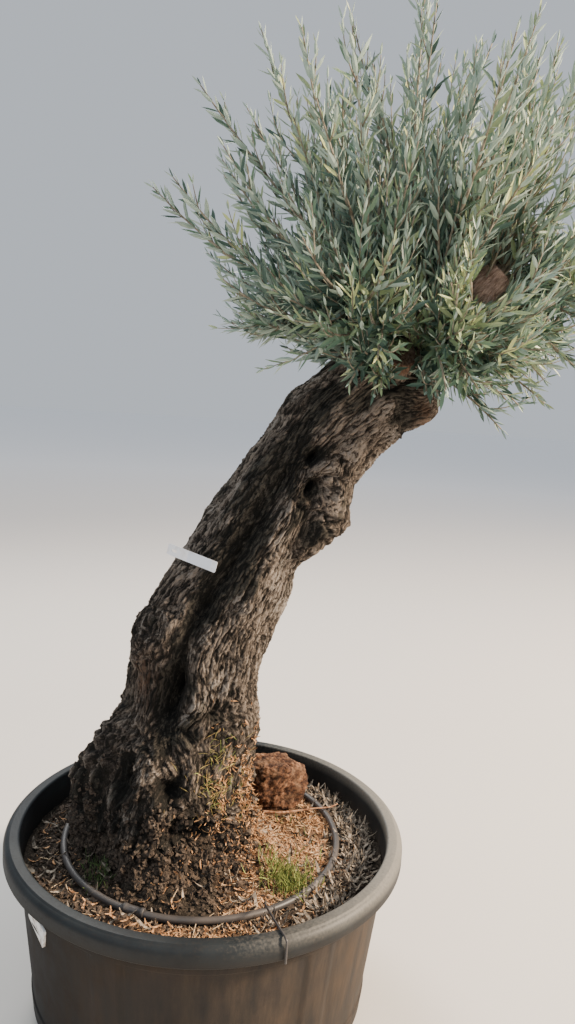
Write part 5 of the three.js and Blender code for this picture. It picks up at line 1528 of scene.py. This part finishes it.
def whip_path(mass, start, tip):
    length = np.linalg.norm(tip - start)
    level = 1 - abs(tip[2] - start[2]) / length
    middle = (start + tip) / 2
    for sag in WHIP_SAGS:
        lowered = middle - (0, 0, sag * level * length)
        if is_free(mass, lowered, WHIP_ROOM)[0]:
            return start, lowered, tip
    return start, middle, tip


def side_twigs(mass, whip, reach, rng):
    """Side twigs of a whip: longer low down, leaving at an angle and then turning up."""
    length = np.linalg.norm(whip[2] - whip[0])
    count = max(int(length * (TWIG_LAST - TWIG_FIRST) / TWIG_SPACING), 1)
    places = np.linspace(TWIG_FIRST, TWIG_LAST, count) + rng.uniform(-0.02, 0.02, count)
    turn, twigs = rng.uniform(0, FULL_TURN), []
    for place in places:
        turn += GOLDEN_ANGLE
        start = bent(*whip, place)
        forward = unit(bent(*whip, place + 0.01) - bent(*whip, place - 0.01))
        side, top = cross_vectors(forward)
        out = side * math.cos(turn) + top * math.sin(turn)
        lean = math.radians(rng.uniform(22, 46))
        leaving = unit(forward * math.cos(lean) + out * math.sin(lean))
        long = rng.uniform(TWIG_SHORTEST, TWIG_LONGEST) * (1.15 - 0.88 * place)
        while long > TWIG_LEAST:
            middle = start + leaving * long * 0.5
            end = start + unit(leaving + forward * 0.4 + (0, 0, 0.75)) * long
            points = np.stack([middle, end, (middle + end) / 2])
            fits = in_own_space(mass, points, -TWIG_OVERLAP) & clear_of_limbs(points, TWIG_ROOM)
            if fits.all() and np.linalg.norm(end - HUB) < reach - TIP_LEAF * 0.8:
                twigs.append((start, middle, end))
                break
            long *= SHORTEN
    return twigs


def spurs(mass, bough, reach, rng):
    """Short leafy spurs on the bough itself, which fill the middle of the foliage."""
    grown = []
    for attempt in range(SPUR_COUNT * 4):
        if len(grown) == SPUR_COUNT:
            break
        start = bent(*bough_path[bough], rng.uniform(0.45, 1.0))
        turn, wide = rng.uniform(0, FULL_TURN), 0.75 * math.sqrt(rng.random())
        end = start + leaning_out(mass, wide, turn) * rng.uniform(SPUR_SHORTEST, SPUR_LONGEST)
        if is_free(mass, end, 0.01)[0] and np.linalg.norm(end - HUB) < reach * 0.8:
            grown.append((start, (start + end) / 2 - (0, 0, 0.02), end))
    return grown


def hanging_sprays(mass, bough, rng):
    """Sprays that lean out and down, and hide the end of the trunk from the front."""
    count, lowest, highest = HANGING.get(mass, (0, 0, 0))
    sprays = []
    for attempt in range(count * 8):
        if len(sprays) == count:
            break
        start = bent(*bough_path[bough], rng.uniform(0.3, 0.95))
        outwards = heading_vector(rng.uniform(lowest, highest), -rng.uniform(*HANGING_FALL))
        end = start + outwards * rng.uniform(*HANGING_LENGTH)
        middle = (start + end) / 2 + (0, 0, 0.035)
        if is_free(mass, np.stack([middle, end, (middle + end) / 2]), 0.008).all():
            sprays.append((start, middle, end))
    return sprays


def open_to_view(paths):
    """The paths that don't cross the gap before the sawn end."""
    share = np.linspace(0, 1, 9)
    return [path for path in paths if not before_sawn_end(bent(*path, share), 0.045).any()]


def grow(mass, bough, reach, spread, whip_count, seed):
    rng = np.random.default_rng(seed)
    stem = stem_path(mass, bough, reach)
    whips, first_turn = [], rng.uniform(0, FULL_TURN)
    for index in range(whip_count):
        share = index / (whip_count - 1)
        distance = (reach - TIP_LEAF) * (1 - TIP_SCATTER * (index > 0) * rng.random() ** 0.7)
        tip = whip_tip(mass, spread, share, first_turn + index * GOLDEN_ANGLE, distance)
        whips.append(whip_path(mass, bent(*stem, 1 - WHIP_ROOTS_SPAN * rng.random()), tip))
    whips = open_to_view(whips + spurs(mass, bough, reach, rng) + hanging_sprays(mass, bough, rng))
    twigs = open_to_view([twig for whip in whips for twig in side_twigs(mass, whip, reach, rng)])
    return stem, np.array(whips), np.array(twigs)


grown = {}
for index, (mass, bough, _, _, reach, spread, whip_count) in enumerate(MASSES):
    grown[mass] = grow(mass, bough, reach, spread, whip_count, FIRST_SEED + index * SEED_STEP)
print("whips:", sum(len(whips) for _, whips, _ in grown.values()),
      "side twigs:", sum(len(twigs) for _, _, twigs in grown.values()))

# %% [markdown]
# Twigs become thin tapering tubes, all of a mass in one mesh: first the stem, then the whips, then the
# side twigs, each kind thinner and with fewer sides. All the tubes of a kind are worked out at once.

# %% Twig meshes
# Radius at root and tip, then rings and sides, for the stem, the whips and the side twigs
TUBE_KINDS = (((0.011, 0.006), 8, 8), ((0.0048, 0.0016), 13, 5), ((0.0021, 0.0010), 5, 3))


def tubes(paths, radii, rings, sides):
    """Points and faces of many thin tubes at once, each closed at both ends."""
    share = np.linspace(0, 1, rings)
    centres = bent(paths[:, None, 0], paths[:, None, 1], paths[:, None, 2], share[None, :])
    forwards = unit(np.gradient(centres, axis=1))
    side, top = cross_vectors(unit(paths[:, 2] - paths[:, 0]))
    side, top = side[:, None, None], top[:, None, None]
    spin = np.linspace(0, 2 * math.pi, sides, endpoint=False)[None, None, :, None]
    out = side * np.cos(spin) + top * np.sin(spin)
    out = out - forwards[:, :, None] * (out * forwards[:, :, None]).sum(-1, keepdims=True)
    radius = (radii[0] + (radii[1] - radii[0]) * share)[None, :, None, None]
    points = (centres[:, :, None] + unit(out) * radius).reshape(-1, 3)
    first = np.arange(len(paths))[:, None] * rings * sides
    walls = (wrapped(rings, sides).ravel()[None, :] + first).reshape(-1, 4)
    foot = (np.arange(sides)[::-1][None, :] + first).tolist()
    tip = (np.arange(sides)[None, :] + (rings - 1) * sides + first).tolist()
    return points, walls, foot + tip


def twig_piece(mass):
    stem, whips, twigs = grown[mass]
    points, faces, start = [], [], 0
    for paths, (radii, rings, sides) in zip((np.array([stem]), whips, twigs), TUBE_KINDS):
        some, walls, ends = tubes(paths, radii, rings, sides)
        points.append(some)
        faces += (walls + start).tolist() + [[corner + start for corner in end] for end in ends]
        start += len(some)
    return mesh_piece(f"twigs_{mass}", np.vstack(points), faces)


print("tubes in all:", sum(1 + len(whips) + len(twigs) for _, whips, twigs in grown.values()))

# %% [markdown]
# Leaves stand in opposite pairs, each pair turned a quarter from the last, small and upright near the
# tips. A leaf is a closed lance of twelve faces, green above and silver below, folded along its
# midrib. One that would reach too far, touch a limb or hide the sawn end is turned and tried again.
# Masses that face the warm lamp get more of the light tones and the rest more dark ones, as painted
# light and shade, and a whole twig keeps one tone, except that leaves near the middle of the foliage
# lose the two lightest tones to the darkest, as painted shade.

# %% Leaf meshes
LEAF_LONGEST, LEAF_SHORTEST, LEAF_SHAPE = 0.064, 0.040, 0.205
LEAF_THICKNESS, LEAF_FOLD, PAIR_SPACING = 0.0006, 0.16, 0.0188
LEAF_TRIES, LEAF_FIRST_SHARE, LEAF_OVERLAP = 4, 0.10, 0.035
# Share of the length, share of half the width, for the outline of a leaf
LEAF_OUTLINE = np.array([(0, 0.1), (0.27, -0.88), (0.66, -0.86), (1, 0), (0.66, 0.86), (0.27, 0.88)])
LEAF_CORNERS, LEAF_FACES, BEFORE_CUT = len(LEAF_OUTLINE), 12, -0.03
TONES, SHADED_INNER_TONES, TO_SUN = 5, 3, np.array((1.0, -0.2, 0.7))
SHADE_SHARES = np.array((0.46, 0.32, 0.14, 0.05, 0.03))
SUN_SHARES = np.array((0.12, 0.27, 0.27, 0.19, 0.15))


def pairs_along(paths, first, taper, rng):
    """Places, directions and sizes for the leaves of a set of twigs, two at each node."""
    parts = []
    for number, path in enumerate(paths):
        length = np.linalg.norm(path[2] - path[0])
        nodes = max(int(length * (1 - first) / PAIR_SPACING), 2)
        place = np.linspace(first, 0.995, nodes)
        turn = rng.uniform(0, FULL_TURN) + np.arange(nodes) * math.pi / 2
        turn, place = np.concatenate([turn, turn + math.pi]), np.concatenate([place, place])
        near_tip = smooth_step(1 - 0.10 / (length + 0.05), 1, place)
        short_of_tip = np.minimum(place, 0.98)
        forward = bent(*path, short_of_tip + 0.02) - bent(*path, short_of_tip)
        size = taper * (1 - 0.45 * near_tip)
        parts.append((bent(*path, place), forward, turn, near_tip, np.full(len(place), number), size))
    return [np.concatenate(column) for column in zip(*parts)]


def leaf_piece(mass, reach, seed):
    _, whips, twigs = grown[mass]
    rng = np.random.default_rng(seed)
    on_whips = pairs_along(whips, 0.12, 1.0, rng)
    on_twigs = pairs_along(twigs, LEAF_FIRST_SHARE, 0.94, rng)
    on_twigs[4] = on_twigs[4] + len(whips)
    root, forward, turn, near_tip, spray, size = (np.concatenate(pair) for pair in zip(on_whips, on_twigs))
    forward, count = unit(forward), len(root)
    turn = turn + rng.normal(0, 0.22, count)
    long = rng.uniform(LEAF_SHORTEST, LEAF_LONGEST, count) * size
    lean = np.radians(rng.normal(29, 8, count) * (1 - 0.5 * near_tip) + 3)
    roll, bend = rng.normal(0, 0.45, count), rng.normal(0.05, 0.07, count)
    side, top = cross_vectors(forward)
    ready, heading, across = np.zeros(count, bool), np.zeros((count, 3)), np.zeros((count, 3))
    for attempt in range(LEAF_TRIES):
        todo = ~ready
        spun = (turn + attempt * 0.9)[todo, None]
        out = side[todo] * np.cos(spun) + top[todo] * np.sin(spun)
        aim = forward[todo] * np.cos(lean[todo, None]) + out * np.sin(lean[todo, None])
        tip = root[todo] + aim * long[todo, None]
        fits = in_own_space(mass, tip, -LEAF_OVERLAP) & clear_of_limbs(tip, 0)
        fits &= np.linalg.norm(tip - HUB, axis=1) < reach
        fits &= ~before_sawn_end(tip, BEFORE_CUT) & ~before_sawn_end(root[todo], BEFORE_CUT)
        heading[todo], across[todo] = aim, np.cross(forward[todo], out)
        ready[todo] = fits
    root, heading, across = root[ready], heading[ready], unit(across[ready])
    long, roll, bend, spray = long[ready, None], roll[ready, None], bend[ready, None], spray[ready]
    above = np.cross(heading, across)
    across, above = (across * np.cos(roll) + above * np.sin(roll),
                     above * np.cos(roll) - across * np.sin(roll))
    half = long * LEAF_SHAPE / 2
    place = (LEAF_OUTLINE[None, :, 0] * long)[..., None]
    wide = (LEAF_OUTLINE[None, :, 1] * half)[..., None]
    lift = (-bend * long * LEAF_OUTLINE[None, :, 0] ** 2)[..., None]
    rim = root[:, None] + heading[:, None] * place + across[:, None] * wide + above[:, None] * lift
    rib = root + heading * (0.48 * long) - above * (bend * 0.23 * long)
    fold = half * LEAF_FOLD * 2
    ribs = np.stack([rib - above * fold, rib - above * (fold + LEAF_THICKNESS)], 1)
    points = np.concatenate([rim, ribs], 1).reshape(-1, 3)
    corner = np.arange(LEAF_CORNERS)
    after, upper_rib = (corner + 1) % LEAF_CORNERS, 0 * corner + LEAF_CORNERS
    fans = np.vstack([np.stack([upper_rib, corner, after], 1), np.stack([upper_rib + 1, after, corner], 1)])
    first_corner = (LEAF_CORNERS + 2) * np.arange(len(root))[:, None, None]
    thing = mesh_piece(f"leaves_{mass}", points, (fans[None] + first_corner).reshape(-1, 3), smooth=False)

    # Painted light and shade: tones by how a mass faces the warm lamp, and the darkest tone for light-toned
    # leaves near the middle.
    outer = np.linalg.norm(root - HUB, axis=1) / reach
    to_light = 0.5 + 0.5 * mass_heading[mass] @ unit(TO_SUN)
    shares = SHADE_SHARES * (1 - to_light) + SUN_SHARES * to_light
    tone = rng.choice(TONES, spray.max() + 1, p=shares)[spray]
    tone = np.where((outer < 0.55) & (tone >= SHADED_INNER_TONES), 0, tone)
    per_face = np.repeat(tone, LEAF_FACES).reshape(-1, LEAF_FACES)
    per_face[:, LEAF_FACES // 2 :] = TONES
    thing.data.polygons.foreach_set("material_index", per_face.ravel().astype(np.int32))
    return thing


# Five tones for the upper side, from dark to light, then the silver of the underside
LEAF_TONES = {
    "leaf_deep": (0.060, 0.108, 0.080),
    "leaf_green": (0.138, 0.218, 0.138),
    "leaf_olive": (0.245, 0.312, 0.170),
    "leaf_light": (0.350, 0.435, 0.255),
    "leaf_young": (0.480, 0.530, 0.235),
    "leaf_under": (0.305, 0.400, 0.345),
}
leaf_finishes = [new_finish(name, colour, 0.7 if name == "leaf_under" else 0.48, 0.4)
                 for name, colour in LEAF_TONES.items()]


def twig_finish():
    m = new_finish("twig_bark", (0.25, 0.22, 0.17), 0.8, 0.3)
    tone = grain(m, object_place(m), 45, 4)
    wire(m, "Base Color", colours(m, tone, [(0.35, (0.13, 0.11, 0.08)), (0.65, (0.34, 0.30, 0.23))]))
    return m


twig_bark = twig_finish()
for index, (mass, _, _, _, reach, _, _) in enumerate(MASSES):
    hand_over(twig_piece(mass), [twig_bark], [f"foliage_{mass}"])
    leaves = leaf_piece(mass, reach, FIRST_SEED + 31 + index * SEED_STEP)
    hand_over(leaves, leaf_finishes, [f"foliage_{mass}"])

# %% [markdown]
# A blank white label lies on the bark. It is a thin strip with rounded corners and a slot near one
# end, and carries only a faint plain panel where print would go.

# %% Label strip
SLOT_INSET, SLOT_LENGTH, SLOT_WIDTH = 0.018, 0.014, 0.007
LABEL_STEPS, LABEL_CORNER = 48, 0.003


def label_outline():
    """The strip's outline and its slot, both from even turns, so that the two can be joined."""
    turn = np.linspace(0, 2 * math.pi, LABEL_STEPS, endpoint=False)
    slot_x = SLOT_INSET - TAG_LENGTH / 2
    slot = np.stack([slot_x + SLOT_LENGTH / 2 * np.cos(turn), SLOT_WIDTH / 2 * np.sin(turn)], -1)
    outline = rounded_outline(TAG_LENGTH, TAG_WIDTH, LABEL_CORNER, LABEL_STEPS // 4)
    start = np.argmin(np.abs(np.arctan2(outline[:, 1], outline[:, 0] - slot_x)))
    return np.roll(outline, -start, axis=0), slot


outer, inner = label_outline()
half = TAG_THICKNESS / 2
layers = [(inner, -half), (outer, -half), (outer, half), (inner, half)]
flat_label = np.vstack([np.column_stack([line, np.full(LABEL_STEPS, height)]) for line, height in layers])
label_points = tag_middle + flat_label @ np.stack([tag_along, tag_across, tag_normal])
label_faces = wrapped(len(layers), LABEL_STEPS, closed=True)
label = mesh_piece("blank_label", label_points, label_faces, smooth=False)
store(label, "place", flat_label * (1, 1, 0))


def label_finish():
    m = new_finish("label_plastic", (0.80, 0.83, 0.88), 0.4)
    along_strip = axis_of(m, stored(m, "place", "Vector"), "X")
    from_slot, to_end = remap(m, along_strip, -0.012, -0.010), remap(m, along_strip, 0.052, 0.050, 0, 0.5)
    dust = remap(m, grain(m, object_place(m), 60, 4), 0.52, 0.75, 0, 0.4)
    panel = combine(m, "MULTIPLY", from_slot, to_end)
    base = mixed(m, panel, (0.82, 0.85, 0.90), (0.60, 0.68, 0.82))
    wire(m, "Base Color", mixed(m, dust, base, (0.45, 0.38, 0.31)))
    return m


hand_over(label, [label_finish()], ["tag"])
